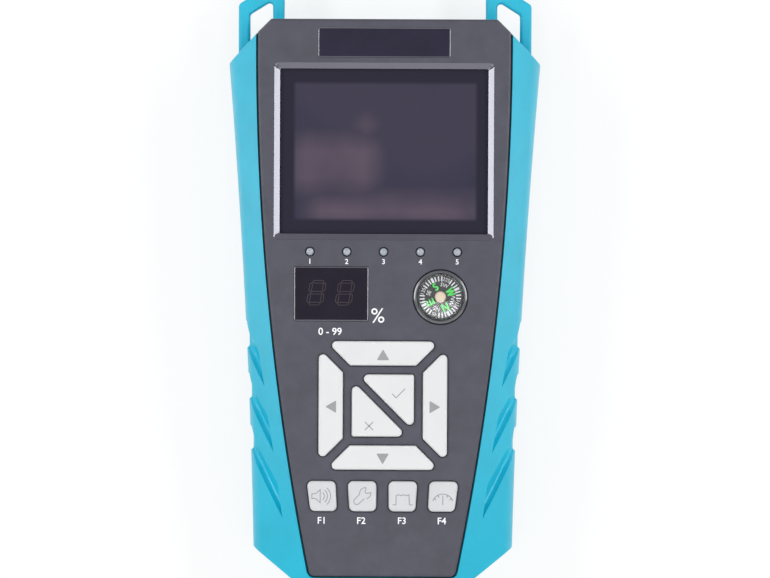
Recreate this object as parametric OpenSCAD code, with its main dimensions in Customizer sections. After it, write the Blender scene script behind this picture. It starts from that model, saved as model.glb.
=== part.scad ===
// A handheld satellite signal meter, lying on its back.
// +Z points out of the front panel and +Y to the top end. The origin is on the back, under the
// middle of the whole object's box.

/* [Body] */
// Height of the body, without the strap loops and the aerial socket
body_h = 222; // [219:1:232]
// Thickness, from the back to the front panel
body_t = 46; // [45:0.5:52]
// Width across the shoulders, the widest place
shoulder_w = 121.9; // [119:0.2:127]
// Width at the hips
hip_w = 101.4; // [98:0.2:106]
// How far each side bows in between the shoulders and the hips
waist_in = 1.6; // [0.5:0.05:2]
// Length of the cut across each top corner, along the top and the side alike
top_cut = 17.3; // [15:0.1:18]
// Width of the cut across each bottom corner
bottom_cut_w = 22.9; // [20:0.1:26]
// Height of the cut across each bottom corner
bottom_cut_h = 17.8; // [15:0.1:21]
// Height of the widest line of the sides above the back
side_z = 27; // [25:0.5:29]
// How much narrower each side is at the back
side_draft = 2; // [1:0.25:3]
// Radius along the widest line, at the shoulders
shoulder_edge_r = 22; // [12:1:24]
// Radius along the widest line, at the hips
hip_edge_r = 11; // [6:0.5:12]
// Radius along the edges of the back
back_r = 7; // [4:0.5:8]
// Radius of the upright corners
corner_r = 1.2; // [1:0.1:2.5]
// Wall of the rear shell
wall = 2.8; // [2.4:0.1:3.2]

/* [Front panel] */
// Width of the panel at the top
panel_top_w = 97.6; // [96:0.2:100]
// Width at its bottom edge
panel_bottom_w = 56; // [55:0.5:62]
// Distance from the top edge down to where its sides start to curve in
panel_wide_drop = 9; // [6:0.5:14]
// Turquoise rim below the panel
panel_margin = 7; // [6:0.5:8]
// Radius of the bottom corners
panel_r = 2.4; // [1.6:0.1:4]
// Thickness of the panel
panel_t = 3; // [2.6:0.1:3.2]
// Gap between the panel and the rear shell
panel_gap = 0.5; // [0.3:0.1:0.7]
// How far the panel stands above the rear shell's rim
panel_proud = 0.8; // [0.4:0.1:1.2]
// Rounding of the panel's front edge
panel_edge = 0.7; // [0.4:0.1:1]
// Thickness of the skirt behind the panel
skirt_t = 2.2; // [1.8:0.1:2.6]
// Depth of the skirt
skirt_h = 5; // [3:0.5:6]
// Height of the joint between the shells on the top end
top_split_z = 22; // [21.5:0.25:23]

/* [Strap loops] */
// Height of the loops above the top edge
loop_rise = 15.5; // [14:0.5:18]
// Height of the outer leg above the top edge
loop_leg = 6.5; // [5:0.5:8]
// Width of the loop's legs
loop_bar = 4.5; // [3.6:0.1:4.6]
// Width of the bar between the legs
loop_top = 5.8; // [4.6:0.2:6.2]
// Thickness of the loops
loop_t = 6; // [4:0.5:7]
// Height of the loops above the back
loop_z = 13; // [8:0.5:14]
// Distance of the outer leg in from the shoulder
loop_inset = 3.9; // [3:0.1:5]
// Distance of the inner leg from the middle
loop_in = 39.2; // [38:0.1:40.5]
// Width of the flat top of each loop
loop_flat = 3.5; // [3:0.5:4.5]

/* [Grip grooves] */
// Grooves on each side
groove_count = 3; // [1:1:3]
// Distance from the top edge down to the first groove
groove_drop = 127; // [122:1:130]
// Distance from groove to groove
groove_pitch = 19.8; // [18:0.1:21]
// Length of the first groove
groove_len = 15; // [13:0.5:16]
// Added length from groove to groove
groove_len_step = 5.6; // [4:0.2:6.4]
// Reach of the first groove across the side band
groove_reach = 6.7; // [5:0.1:7]
// Added reach from groove to groove
groove_reach_step = 2.7; // [2:0.1:2.8]
// Width of a groove's mouth on the outline
groove_mouth = 9; // [7:0.5:10]
// Depth of the grooves
groove_depth = 1.6; // [0.8:0.1:1.8]
// How far a groove leans on its way round to the back
groove_lean = 2; // [0:1:14]

/* [Screen] */
// Distance from the top edge down to the middle of the screen
screen_drop = 51; // [50.5:0.25:52]
// Width of the window
glass_w = 79.6; // [78:0.2:81]
// Height of the window
glass_h = 63.6; // [62:0.2:64.4]
// Thickness of the window
glass_t = 1.5; // [1.2:0.1:1.6]
// Depth of the window below the panel
glass_drop = 2.5; // [2:0.1:2.8]
// Width of the bevel at the window's sides
bevel_w = 2.5; // [2:0.1:3.2]
// Height of the bevel above and below the window
bevel_h = 2.1; // [1.8:0.1:2.6]
// Radius of the bevel's outer corners
bevel_r = 2.6; // [2:0.1:4]
// Width of the screen module
lcd_w = 76.9; // [76:0.1:78]
// Height of the screen module
lcd_h = 63.9; // [63:0.1:65]
// Thickness of the screen module
lcd_t = 3.3; // [2.8:0.1:3.4]
// Width of the opening behind the window
view_w = 72.4; // [71:0.1:74]
// Height of the opening behind the window
view_h = 55; // [54:0.1:57]
// Thickness of the ledge that carries the window
ledge_t = 1.5; // [1.2:0.1:1.6]
// Thickness of the foam behind that ledge
gasket_t = 0.4; // [0.3:0.05:0.5]

/* [Name plate] */
// Distance from the top edge down to the middle of the plate
plate_drop = 9; // [8.4:0.1:9.4]
// Width of the plate
plate_w = 51; // [48:0.2:52]
// Height of the plate
plate_h = 11.4; // [10:0.1:11.8]
// Thickness of the plate
plate_t = 0.7; // [0.5:0.1:0.9]

/* [Lamps] */
// Distance from the top edge down to the row of lamps
lamp_drop = 89.75; // [89.25:0.25:90.25]
// Lamps in the row
lamp_count = 5; // [3:2:5]
// Distance from lamp to lamp
lamp_pitch = 14.2; // [13.8:0.1:14.6]
// Diameter of a lamp
lamp_d = 3; // [2.6:0.1:3.2]

/* [Digit display] */
// Distance from the top edge down to the middle of the display
digit_drop = 106; // [105.6:0.1:107]
// Distance of the display left of the middle
digit_left = 20.1; // [20:0.1:21]
// Width of its window
digit_win_w = 28.7; // [27:0.1:29.2]
// Height of its window
digit_win_h = 20.9; // [20:0.1:21.4]
// Thickness of its window
digit_win_t = 1.2; // [1:0.1:1.3]
// How far its window stands above the panel
digit_win_proud = 0.25; // [0:0.05:0.4]
// Width of the display block
digit_w = 24; // [22:0.2:24.6]
// Height of the display block
digit_h = 15; // [14:0.2:16]

/* [Compass] */
// Distance from the top edge down to the middle of the compass
compass_drop = 107.1; // [106.6:0.1:107.4]
// Distance of the compass right of the middle
compass_right = 22; // [21.6:0.1:22.2]
// Diameter of the case
compass_d = 20.4; // [20:0.1:20.8]
// Depth of the case
compass_h = 8; // [7.5:0.1:9]
// Diameter of the rim
compass_rim_d = 21.2; // [21:0.1:21.6]
// How far the rim stands above the panel
compass_proud = 0.5; // [0.3:0.1:0.9]
// Diameter of the card
card_d = 17.2; // [16.6:0.1:17.4]
// Diameter of the pivot pin
pivot_d = 1; // [0.8:0.1:1.2]
// Direction of the card's north mark, from the right, anticlockwise
card_angle = -64; // [-180:1:180]

/* [Keys] */
// Distance from the top edge down to the middle of the arrow keys
pad_drop = 149; // [148.8:0.1:149.4]
// Width over the arrow keys
pad_w = 49.6; // [48.8:0.1:50.4]
// Width of an arrow key
bar_w = 9.4; // [9:0.1:9.8]
// Gap between neighbouring arrow keys
bar_slit = 3.8; // [3.2:0.1:4.2]
// Width over the two middle keys
core_w = 24; // [23:0.1:24.2]
// Gap between the two middle keys
core_slit = 3.1; // [2.5:0.1:3.4]
// Distance from the top edge down to the function keys
function_drop = 184; // [183.8:0.1:184.6]
// Height of a function key
function_h = 11.7; // [11:0.1:12.2]
// Width of a function key at its top
function_top_w = 11.2; // [10.6:0.1:11.6]
// Width of a function key at its bottom
function_bottom_w = 10.3; // [9.8:0.1:10.8]
// Distance from function key to function key at their tops
function_top_pitch = 15.8; // [15.4:0.1:16]
// Distance from function key to function key at their bottoms
function_bottom_pitch = 15.1; // [14.8:0.1:15.3]
// Radius of the keys' corners
key_r = 1.7; // [1.3:0.1:2]
// How far the keys stand above the panel
key_proud = 1.4; // [1:0.1:2]
// Travel of a key
key_travel = 1; // [0.6:0.1:1.2]
// Gap around a key in the panel
key_gap = 0.35; // [0.25:0.05:0.45]
// Width of the rim that holds a key behind the panel
key_rim = 0.6; // [0.4:0.05:0.7]

/* [Battery] */
// Length of the battery pack
pack_l = 68; // [64:1:69]
// Diameter of its two cells
cell_d = 18.4; // [18:0.1:18.6]
// Distance from the top edge down to the middle of the battery bay
bay_drop = 123; // [121:0.5:124]
// Thickness of the battery door
door_t = 2.3; // [2:0.1:2.5]

/* [Boards] */
// Height of the main board above the back
main_z = 24; // [23.8:0.1:24.6]
// Thickness of the boards
board_t = 1.6; // [1.2:0.1:1.8]
// Depth of the key board's front below the panel
key_board_drop = 12.4; // [12:0.1:12.8]
// Width of the main board
main_w = 68; // [66:0.5:69]
// Width of the key board
key_board_w = 70; // [68:0.5:70.5]

/* [Sockets and switch] */
// Length of the aerial socket's thread outside the body
socket_reach = 9; // [8.5:0.25:12]
// Diameter of the aerial socket's thread
socket_d = 9.44; // [9.2:0.02:9.6]
// Height of the aerial socket's axis above the back
socket_z = 17; // [16:0.25:18]
// Distance of the power inlet left of the middle
inlet_left = 20; // [16:0.5:22]
// Diameter of the power inlet's opening
inlet_d = 5.5; // [5:0.1:6]
// Distance of the power switch right of the middle
switch_right = 20; // [16:0.5:22]
// Travel of the power switch
switch_travel = 4; // [3:0.25:4.5]

/* [Hidden] */
$fn = 48;

turquoise = [0.05, 0.62, 0.75];
charcoal = [0.28, 0.28, 0.32];
glass_black = [0.12, 0.12, 0.15];
key_white = [0.86, 0.87, 0.87];
board_green = [0.1, 0.35, 0.2];
steel = [0.7, 0.7, 0.72];
brass = [0.75, 0.62, 0.32];
black = [0.1, 0.1, 0.1];

// Places along the body
y_max = (loop_rise + body_h + socket_reach) / 2;
y_top = y_max - loop_rise;
y_bottom = y_top - body_h;
y_shoulder = y_top - top_cut;
y_hip = y_bottom + bottom_cut_h;
panel_wide_y = y_top - panel_wide_drop;
panel_bottom_y = y_bottom + panel_margin;
screen_y = y_top - screen_drop;
plate_y = y_top - plate_drop;
lamp_y = y_top - lamp_drop;
digit_y = y_top - digit_drop;
compass_y = y_top - compass_drop;
pad_y = y_top - pad_drop;
function_y = y_top - function_drop;
bay_y = y_top - bay_drop;
// Sum of x and y on the line of the right top corner's cut
cut_sum = shoulder_w / 2 + y_shoulder;

// Heights
panel_z = body_t;
panel_back = panel_z - panel_t;
digit_floor = panel_z + digit_win_proud - digit_win_t;
rim_z = panel_z - panel_proud;
glass_z = panel_z - glass_drop - glass_t;
ledge_z = glass_z - ledge_t;
lcd_z = ledge_z - gasket_t - lcd_t;
key_board_top = panel_z - key_board_drop;
key_board_z = key_board_top - board_t;
main_top = main_z + board_t;

// Clearances and small sizes
fit = 0.2;                     // between pieces that are set into one another
slack = 0.05;                  // around screws, pivot and guides
seam = 0.1;                    // between the two shells
over = 1;                      // how far a cut runs past a face
rim_r = 0.8;                   // rounding of the rear shell's rim
stations = 20;                 // cross-sections along the body
boss_r = 4.7;                  // rear screw bosses
boss_gap = 1.3;                // between a boss and the main board
boss_inset = 4.7;              // from the bottom end's corner in to the low bosses
boss_end = 10;                 // from the top edge down to the upper bosses
boss_middle = 94;              // from the top edge down to the middle bosses
low_boss_end = 15;             // from the bottom end up to the low bosses
boss_z = 20;                   // where rear and front bosses meet
front_boss_r = 3.5;
head_r = 2.9;
head_h = 2.2;
screw_r = 1.25;
screw_seat = 12;               // depth of the screw heads' seats from the back
screw_l = 22;
post_r = 2.2;                  // posts that carry the key board
post_shift = 0.7;              // from the lamps' row down to the upper key board posts
post_gap = 2.1;                // between a key's rim and the lower key board posts
post_up = 3;                   // from the lower edge of the arrow keys up to those posts
main_post_r = 3;               // posts that carry the main board
post_inset = 5;                // from the main board's edge in to its posts
main_post_head = 31;           // from the top edge down to the upper posts
main_post_end = 36;            // from the bottom end up to the lower posts
small_screw_r = 0.9;
small_head_r = 1.9;
small_head_h = 1.5;
small_screw_l = 7;
bay_wall = 1.6;
bay_w = 2 * cell_d + 4.2;
bay_l = pack_l + 6;
pack_z = door_t + seam + fit + cell_d / 2;
bay_roof = pack_z + cell_d / 2 + 0.7;
door_w = bay_w + 5;
door_below = 3;                // door past the bay at its lower edge
door_above = 11;               // door past the bay at its upper edge, which takes the screw
door_screw_gap = 6;            // from the bay to the door's screw
pad_rim = 2;                   // thicker frame around the door
frame_t = 5.2;                 // thickness of that frame
tab_w = 8;
tab_t = 1.6;
tab_reach = 2;
tab_x = 12;
tuner_w = 32;
tuner_gap = 7.4;               // from the battery bay to the tuner can
tuner_end = 16;                // from the body's bottom to the tuner can
tuner_t = 13;
can_wall = 0.8;
board_end = 25;                // from the body's bottom to the main board's lower edge
board_head = 7;                // from the body's top to the main board's upper edge
key_board_end = 25;
key_board_head = 19;
lens_t = 1.4;
case_wall = 1.4;
case_floor = 1;
card_t = 0.6;
magnet_t = 1.2;
cap_r = 2.2;
nut_t = 2.5;
nut_af = 11;
washer_t = 0.8;
washer_r = 7;
flange_r = 7;
flange_t = 2;
inlet_w = 9;
inlet_h = 11;
inlet_l = 12.6;
inlet_axis = 6.5;              // inlet's axis above the main board
switch_w = 15;
switch_h = 7;
switch_l = 8;
switch_axis = 4.4;             // slider's middle above the main board
slider_w = 4;
slider_h = 3.4;
channel_t = 2.4;               // depth of the slider's channel in the switch
sounder_r = 14;
sounder_t = 4.6;
sounder_drop = 47;
wire_r = 0.8;
wire_x = 1.5;
plug_w = 10;
plug_l = 6;
dome_h = key_board_top + 6;    // top of the key mat's domes
mat_t = 1.4;
mat_w = 59;
key_edge = 0.5;                // rounding of the keys' top edges
flange_h = 1.8;                // thickness of the keys' rims

boss_x = main_w / 2 + boss_r + boss_gap;
low_boss_x = hip_w / 2 - bottom_cut_w - boss_inset;
shell_bosses = [
    [boss_x, y_top - boss_end], [boss_x, y_top - boss_middle], [low_boss_x, y_bottom + low_boss_end]
];
main_post_x = main_w / 2 - post_inset;
main_posts = [[main_post_x, y_top - main_post_head], [main_post_x, y_bottom + main_post_end]];
key_posts = [
    [1.5 * lamp_pitch, lamp_y - post_shift],
    [pad_w / 2 + key_gap + key_rim + post_r + post_gap, pad_y - pad_w / 2 + post_up]
];
door_screw_y = bay_y + bay_l / 2 + door_screw_gap;
door_y = bay_y + (door_above - door_below) / 2;
door_l = bay_l + door_below + door_above;
tuner_y = y_bottom + tuner_end;
tuner_l = bay_y - bay_l / 2 - bay_wall - tuner_gap - tuner_y;
compass_seat_z = panel_z - 0.7;
compass_top = panel_z + compass_proud;
compass_floor = compass_top - compass_h + case_floor;
compass_bore = compass_d / 2 - case_wall;
lens_z = compass_top - lens_t - fit;
card_z = compass_floor + 2.7;
pivot_tip = card_z + card_t + 0.6;
// Each key: its kind, then its turn in degrees or its place in the row of function keys
KEYS = [
    ["bar", 0], ["bar", 90], ["bar", 180], ["bar", 270], ["core", 0], ["core", 180],
    ["function", -1.5], ["function", -0.5], ["function", 0.5], ["function", 1.5]
];

// Geometry helpers

function lerp(a, b, t) = a + (b - a) * t;
function unit(v) = v / norm(v);

// Points of a closed outline; each corner is [x, y, radius], anticlockwise.
function rounded(corners, steps = 4) = [
    for (i = [0 : len(corners) - 1])
        let (
            count = len(corners),
            corner = corners[i],
            last = corners[(i + count - 1) % count],
            next = corners[(i + 1) % count],
            p = [corner.x, corner.y],
            back = unit([last.x, last.y] - p),
            ahead = unit([next.x, next.y] - p),
            half = acos(max(-1, min(1, back * ahead))) / 2,
            turn = sign(back.y * ahead.x - back.x * ahead.y) * (180 - 2 * half),
            middle = p + unit(back + ahead) * corner.z / sin(half),
            first = p + back * corner.z / tan(half) - middle,
            from = atan2(first.y, first.x)
        )
        each corner.z > 0
            ? [for (k = [0 : steps])
                let (a = from + turn * k / steps) middle + corner.z * [cos(a), sin(a)]]
            : [p]
];

// A right half and its mirror image, as one anticlockwise list of corners.
function both_sides(right) = concat(
    right,
    [for (i = [len(right) - 1 : -1 : 0]) [-right[i].x, right[i].y, right[i].z]]
);

function at_z(outline, z) = [for (p = outline) [p.x, p.y, z]];

// A closed solid through loops of points. The loops are convex, have as many points each,
// and run anticlockwise seen from the last one.
module loft(loops) {
    n = len(loops[0]);
    end = n * (len(loops) - 1);
    polyhedron(
        points = [for (loop = loops) each loop],
        faces = concat(
            [for (i = [1 : n - 2]) [0, i, i + 1]],
            [for (i = [1 : n - 2]) [end, end + i + 1, end + i]],
            [for (k = [0 : n : end - n], i = [0 : n - 1])
                let (j = (i + 1) % n)
                each [[k + i, k + n + i, k + n + j], [k + i, k + n + j, k + j]]]
        )
    );
}

module block(size, at) {
    translate([at.x - size.x / 2, at.y - size.y / 2, at.z]) cube(size);
}

// A round rod from z up
module rod(r, at, h) {
    translate(at) cylinder(r = r, h = h);
}

// A round rod along +Y
module y_rod(r, at, l) {
    translate(at) rotate([-90, 0, 0]) cylinder(r = r, h = l);
}

module plate(w, h, r, t) {
    linear_extrude(t) polygon(rounded([
        [w / 2, -h / 2, r], [w / 2, h / 2, r], [-w / 2, h / 2, r], [-w / 2, -h / 2, r]
    ]));
}

module at_both_sides() {
    children();
    mirror([1, 0, 0]) children();
}

// Shape of the body

// Half the body's width at y, at the widest line
function side_half(y) =
    let (t = (y - y_hip) / (y_shoulder - y_hip))
    lerp(hip_w, shoulder_w, t) / 2 - 4 * waist_in * t * (1 - t);

// Half the body's width at y, at height z below the widest line
function side_x(y, z) = side_half(y) - side_draft * max(0, 1 - z / side_z);

// Half the panel's width at y: straight at the top, then a smooth curve in towards the bottom
function panel_half(y) =
    let (t = max(0, panel_wide_y - y) / (panel_wide_y - panel_bottom_y))
    lerp(panel_top_w, panel_bottom_w, t * t) / 2;

function rim_half(y) = panel_half(y) + panel_gap;
function band_slope(y) = (rim_z - side_z) / (side_half(y) - rim_half(y));
// Height of the side band's face
function band_z(x, y) = rim_z - band_slope(y) * (x - rim_half(y));

function body_stations() = [
    for (k = [0 : stations - 1]) lerp(y_top + over, y_bottom - over, k / (stations - 1))
];

function edge_r(y) = lerp(hip_edge_r, shoulder_edge_r, (y - y_hip) / (y_shoulder - y_hip));

function outer_section(y) =
    let (
        right = [
            [side_x(y, 0), 0, back_r], [side_half(y), side_z, edge_r(y)], [rim_half(y), rim_z, rim_r]
        ]
    )
    [for (p = rounded(both_sides(right))) [p.x, y, p.y]];

function inner_section(y) =
    let (
        drop = wall * sqrt(1 + pow(band_slope(y), 2)),
        mouth = rim_half(y) - panel_gap - skirt_t / 2,
        side = side_half(y) - wall,
        right = [
            [side_x(y, 0) - wall, wall, 0], [side, band_z(side, y) - drop, 0],
            [mouth, band_z(mouth, y) - drop, 0]
        ]
    )
    [for (p = rounded(both_sides(right))) [p.x, y, p.y]];

function body_outline() = rounded(both_sides([
    [hip_w / 2 - bottom_cut_w, y_bottom, corner_r], [hip_w / 2, y_hip, corner_r],
    [shoulder_w / 2, y_shoulder, corner_r], [shoulder_w / 2 - top_cut, y_top, corner_r]
]));

// Right side of the panel from its bottom corner to the cut at the top, moved in by inset
function panel_side(inset) =
    let (
        low = panel_bottom_y + inset,
        high = cut_sum - panel_top_w / 2,
        rows = 16
    )
    concat(
        [[panel_half(low) - inset, low, panel_r - inset]],
        [for (k = [1 : rows - 1])
            let (y = lerp(low + panel_r, high, k / rows)) [panel_half(y) - inset, y, 0]]
    );

function panel_outline(inset = 0) =
    let (
        cut = cut_sum - inset * sqrt(2),
        side = panel_half(cut_sum - panel_top_w / 2) - inset
    )
    rounded(both_sides(concat(
        panel_side(inset),
        [[side, cut - side, corner_r / 2], [cut - y_top + inset, y_top - inset, corner_r]]
    )));

// The opening in the rear shell, which runs out through the top end
function opening_outline() = rounded(both_sides(concat(
    panel_side(-panel_gap), [[rim_half(y_top), y_top + 2 * over, 0]]
)));

module body_solid() {
    intersection() {
        loft([for (y = body_stations()) outer_section(y)]);
        translate([0, 0, -over]) linear_extrude(body_t + 2 * over) polygon(body_outline());
    }
}

module body_hollow() {
    intersection() {
        loft([for (y = body_stations()) inner_section(y)]);
        linear_extrude(body_t) offset(delta = -wall) polygon(body_outline());
    }
}

module panel_opening() {
    translate([0, 0, top_split_z]) linear_extrude(body_t) polygon(opening_outline());
}

// One grip groove: a ramp that ends in a step, on the front band and round on the side
module grip_groove(k) {
    l = groove_len + k * groove_len_step;
    reach = groove_reach + k * groove_reach_step;
    y = y_top - groove_drop - k * groove_pitch;
    way = [reach, l] / reach;
    past = 3;
    high = 8;
    low_end = [side_half(y), y] + past * way;
    top_end = [side_half(y + groove_mouth), y + groove_mouth] + past * way;
    tip = [side_half(y) - reach, y - l];
    middle = lerp(low_end, tip, 0.5);
    bend = tip + [0.8, 0.45 * l];
    ring = [bend, tip, middle, low_end, top_end];
    deep = [0, 0, groove_depth, 1.3 * groove_depth, 0];
    loft([
        [for (i = [0 : 4]) [ring[i].x, ring[i].y, band_z(ring[i].x, ring[i].y) - deep[i]]],
        [for (p = ring) [p.x, p.y, band_z(p.x, p.y) + high]]
    ]);
    top_z = side_z + 3;
    foot = [y - groove_lean, back_r];
    head = [y, top_z];
    knee = lerp(foot, head, 0.4) + [groove_mouth / 2, 0];
    side_ring = [knee, [y + groove_mouth, top_z], head, lerp(foot, head, 0.5), foot];
    side_deep = [0, 0, groove_depth, groove_depth, 0];
    loft([
        [for (i = [0 : 4])
            let (p = side_ring[i]) [side_x(p.x, p.y) - side_deep[i], p.x, p.y]],
        [for (p = side_ring) [side_x(p.x, p.y) + past, p.x, p.y]]
    ]);
}

// The right strap loop, rooted in the wall
module strap_loop() {
    outer = shoulder_w / 2 - loop_inset;
    root = wall / 2;
    leg_y = y_top + loop_leg;
    slope = (y_max - leg_y) / (outer - loop_in - loop_flat);
    thick = loop_top * sqrt(1 + slope * slope);
    window_out = outer - loop_bar;
    window_in = loop_in + loop_bar;
    round_r = 1.5;
    translate([0, 0, loop_z]) linear_extrude(loop_t) difference() {
        polygon(rounded([
            [outer, cut_sum - outer - root, 0], [outer, leg_y, round_r],
            [loop_in + loop_flat, y_max, round_r], [loop_in, y_max, round_r],
            [loop_in, y_top - root, 0]
        ]));
        polygon(rounded([
            [window_out, cut_sum - window_out - root, 0],
            [window_out, leg_y + slope * loop_bar - thick, 1],
            [window_in, leg_y + slope * (outer - window_in) - thick, 1],
            [window_in, y_top - root, 0]
        ]));
    }
}

// Housing

module battery_bay_walls() {
    block(
        [bay_w + 2 * bay_wall, bay_l + 2 * bay_wall, bay_roof + bay_wall], [0, bay_y, 0]
    );
    door_frame = [door_w + 2 * pad_rim, door_l + 2 * pad_rim, frame_t];
    block(door_frame, [0, door_y, 0]);
    rod(3.2, [0, door_screw_y, 0], bay_roof / 2);
}

module battery_bay_cuts() {
    block([bay_w, bay_l, bay_roof + over], [0, bay_y, -over]);
    translate([0, door_y, -over])
        plate(door_w, door_l, 2, door_t + seam + over);
    slot_l = door_below + tab_reach + fit + over;
    for (side = [-1, 1])
        block(
            [tab_w + 2 * fit, slot_l, tab_t + 2 * fit],
            [side * tab_x, bay_y - bay_l / 2 + over - slot_l / 2, door_t - fit]
        );
    rod(screw_r + slack, [0, door_screw_y, 0], bay_roof / 2 - over);
    for (side = [-1, 1])
        y_rod(wire_r + fit, [side * wire_x, bay_y, pack_z + 4], bay_l);
}

module sounder_slots() {
    for (k = [-2 : 2])
        translate([0, y_top - sounder_drop + 4.4 * k, -over])
            plate(2 * sqrt(pow(sounder_r - 3, 2) - pow(4.4 * k, 2)), 1.8, 0.8, wall + 2 * over);
}

module rear_shell() color(turquoise) {
    difference() {
        union() {
            difference() {
                body_solid();
                body_hollow();
                panel_opening();
                at_both_sides() for (k = [0 : groove_count - 1]) grip_groove(k);
            }
            at_both_sides() {
                strap_loop();
                for (at = shell_bosses) rod(boss_r, [at.x, at.y, wall / 2], boss_z - wall / 2);
                for (at = main_posts) rod(main_post_r, [at.x, at.y, wall / 2], main_z - wall / 2);
            }
            battery_bay_walls();
        }
        battery_bay_cuts();
        sounder_slots();
        at_both_sides() {
            for (at = shell_bosses) {
                rod(head_r + 2 * fit, [at.x, at.y, -over], screw_seat + over);
                rod(screw_r + fit, [at.x, at.y, 0], boss_z + over);
            }
            for (at = main_posts)
                rod(
                    small_screw_r + slack, [at.x, at.y, main_z - small_screw_l - over],
                    small_screw_l + 2 * over
                );
        }
        y_rod(socket_d / 2 + fit, [0, y_bottom - over, socket_z], wall + 2 * over);
    }
}

// A key's outline, grown by g. The corners are those of the upper arrow key, of the upper right
// middle key, or of the function key that is index places from the middle.
function bar_outline(g) =
    let (
        outer = pad_w / 2 + g,
        inner = pad_w / 2 - bar_w - g,
        slit = (bar_slit / 2 - g) * sqrt(2)
    )
    rounded(both_sides([[inner - slit, inner, key_r / 2 + g], [outer - slit, outer, key_r + g]]));

function core_outline(g) =
    let (
        half = core_w / 2 + g,
        slit = (core_slit / 2 - g) * sqrt(2)
    )
    rounded([[half, half, key_r / 2 + g], [slit - half, half, key_r + g], [half, slit - half, key_r + g]]);

function function_outline(index, g) =
    let (
        half = function_h / 2 + g,
        top = index * function_top_pitch,
        low = index * function_bottom_pitch,
        top_half = function_top_w / 2 + g,
        low_half = function_bottom_w / 2 + g,
        r = key_r + 0.3 + g
    )
    rounded([
        [low + low_half, -half, r], [top + top_half, half, r],
        [top - top_half, half, r], [low - low_half, -half, r]
    ]);

function key_outline(key, g) =
    key[0] == "bar" ? bar_outline(g)
    : key[0] == "core" ? core_outline(g)
    : function_outline(key[1], g);

module at_key(key) {
    translate([0, key[0] == "function" ? function_y : pad_y, 0])
        rotate([0, 0, key[0] == "function" ? 0 : key[1]])
            children();
}

// Middles of the domes under a key, in the frame of its outline
function dome_places(key) =
    key[0] == "bar" ? [for (s = [-1, 1]) [s * 7, pad_w / 2 - bar_w / 2]]
    : key[0] == "core" ? [[core_w / 4, core_w / 4]]
    : [[key[1] * (function_top_pitch + function_bottom_pitch) / 2, 0]];

module screen_seat() {
    translate([0, screen_y, ledge_z])
        plate(glass_w + 2 * bevel_w, glass_h + 2 * bevel_h, bevel_r, panel_back - ledge_z + over);
}

module screen_cuts() {
    rect = function (w, h, r) rounded([
        [w / 2, screen_y - h / 2, r], [w / 2, screen_y + h / 2, r],
        [-w / 2, screen_y + h / 2, r], [-w / 2, screen_y - h / 2, r]
    ]);
    glass_top = panel_z - glass_drop;
    loft([
        at_z(rect(glass_w, glass_h, bevel_r / 3), glass_top),
        at_z(rect(glass_w + 2 * bevel_w, glass_h + 2 * bevel_h, bevel_r), panel_z + seam)
    ]);
    translate([0, screen_y, glass_z]) plate(glass_w, glass_h, bevel_r / 3, glass_t + seam);
    translate([0, screen_y, ledge_z - over]) plate(view_w, view_h, 1, ledge_t + 2 * over);
}

module panel_cuts() {
    for (k = [0 : lamp_count - 1])
        rod(
            lamp_d / 2 + slack, [(k - (lamp_count - 1) / 2) * lamp_pitch, lamp_y, panel_back - over],
            panel_t + 2 * over
        );
    translate([-digit_left, digit_y, digit_floor]) plate(digit_win_w, digit_win_h, 0.6, panel_t);
    translate([-digit_left, digit_y, panel_back - over])
        plate(digit_w + 2 * fit, digit_h + 2 * fit, 0.4, panel_t + over);
    rod(compass_d / 2 + slack, [compass_right, compass_y, panel_back - over], panel_t + 2 * over);
    rod(compass_rim_d / 2 + fit, [compass_right, compass_y, compass_seat_z], panel_t);
    translate([0, plate_y, panel_z - plate_t - fit])
        plate(plate_w + 2 * slack, plate_h + 2 * slack, 0.8, panel_t);
    for (key = KEYS)
        at_key(key) translate([0, 0, panel_back - over])
            linear_extrude(panel_t + 2 * over) polygon(key_outline(key, key_gap));
}

module panel_ring() {
    difference() {
        polygon(panel_outline(0));
        polygon(panel_outline(skirt_t));
    }
}

module front_shell() color(charcoal) {
    difference() {
        union() {
            loft([
                at_z(panel_outline(0), panel_back), at_z(panel_outline(0), panel_z - panel_edge),
                at_z(panel_outline(panel_edge * 0.3), panel_z - panel_edge * 0.3),
                at_z(panel_outline(panel_edge), panel_z)
            ]);
            translate([0, 0, panel_back - skirt_h]) linear_extrude(skirt_h + over / 2) panel_ring();
            intersection() {
                translate([0, 0, top_split_z + seam])
                    linear_extrude(panel_back - top_split_z) panel_ring();
                block([shoulder_w, top_cut, body_t], [0, y_top, 0]);
            }
            screen_seat();
            at_both_sides() {
                for (at = shell_bosses)
                    rod(front_boss_r, [at.x, at.y, boss_z + seam], panel_back - boss_z);
                for (at = key_posts)
                    rod(post_r, [at.x, at.y, key_board_top], panel_back - key_board_top + over / 2);
            }
        }
        screen_cuts();
        panel_cuts();
        at_both_sides() {
            for (at = shell_bosses)
                rod(
                    screw_r + slack, [at.x, at.y, boss_z - over],
                    screw_l - boss_z + screw_seat + 2 * over
                );
            for (at = key_posts)
                rod(
                    small_screw_r + slack, [at.x, at.y, key_board_top - over],
                    small_screw_l - board_t + 1.5 * over
                );
        }
        y_rod(
            inlet_d / 2 + 3 * fit, [-inlet_left, y_top - 2 * skirt_t, main_top + inlet_axis],
            3 * skirt_t
        );
        block(
            [slider_w + switch_travel + 2 * fit, 4 * skirt_t, slider_h + 2 * fit],
            [switch_right, y_top, main_top + switch_axis - slider_h / 2 - fit]
        );
    }
}

// A pan-head screw whose head lies below z and whose shank rises from it
module screw_up(at, r, l, r_head, h_head) {
    rod(r, at, l);
    rod(r_head, [at.x, at.y, at.z - h_head], h_head);
}

module shell_screws() color(steel) {
    at_both_sides() for (at = shell_bosses)
        screw_up([at.x, at.y, screw_seat], screw_r, screw_l, head_r, head_h);
}

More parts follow.
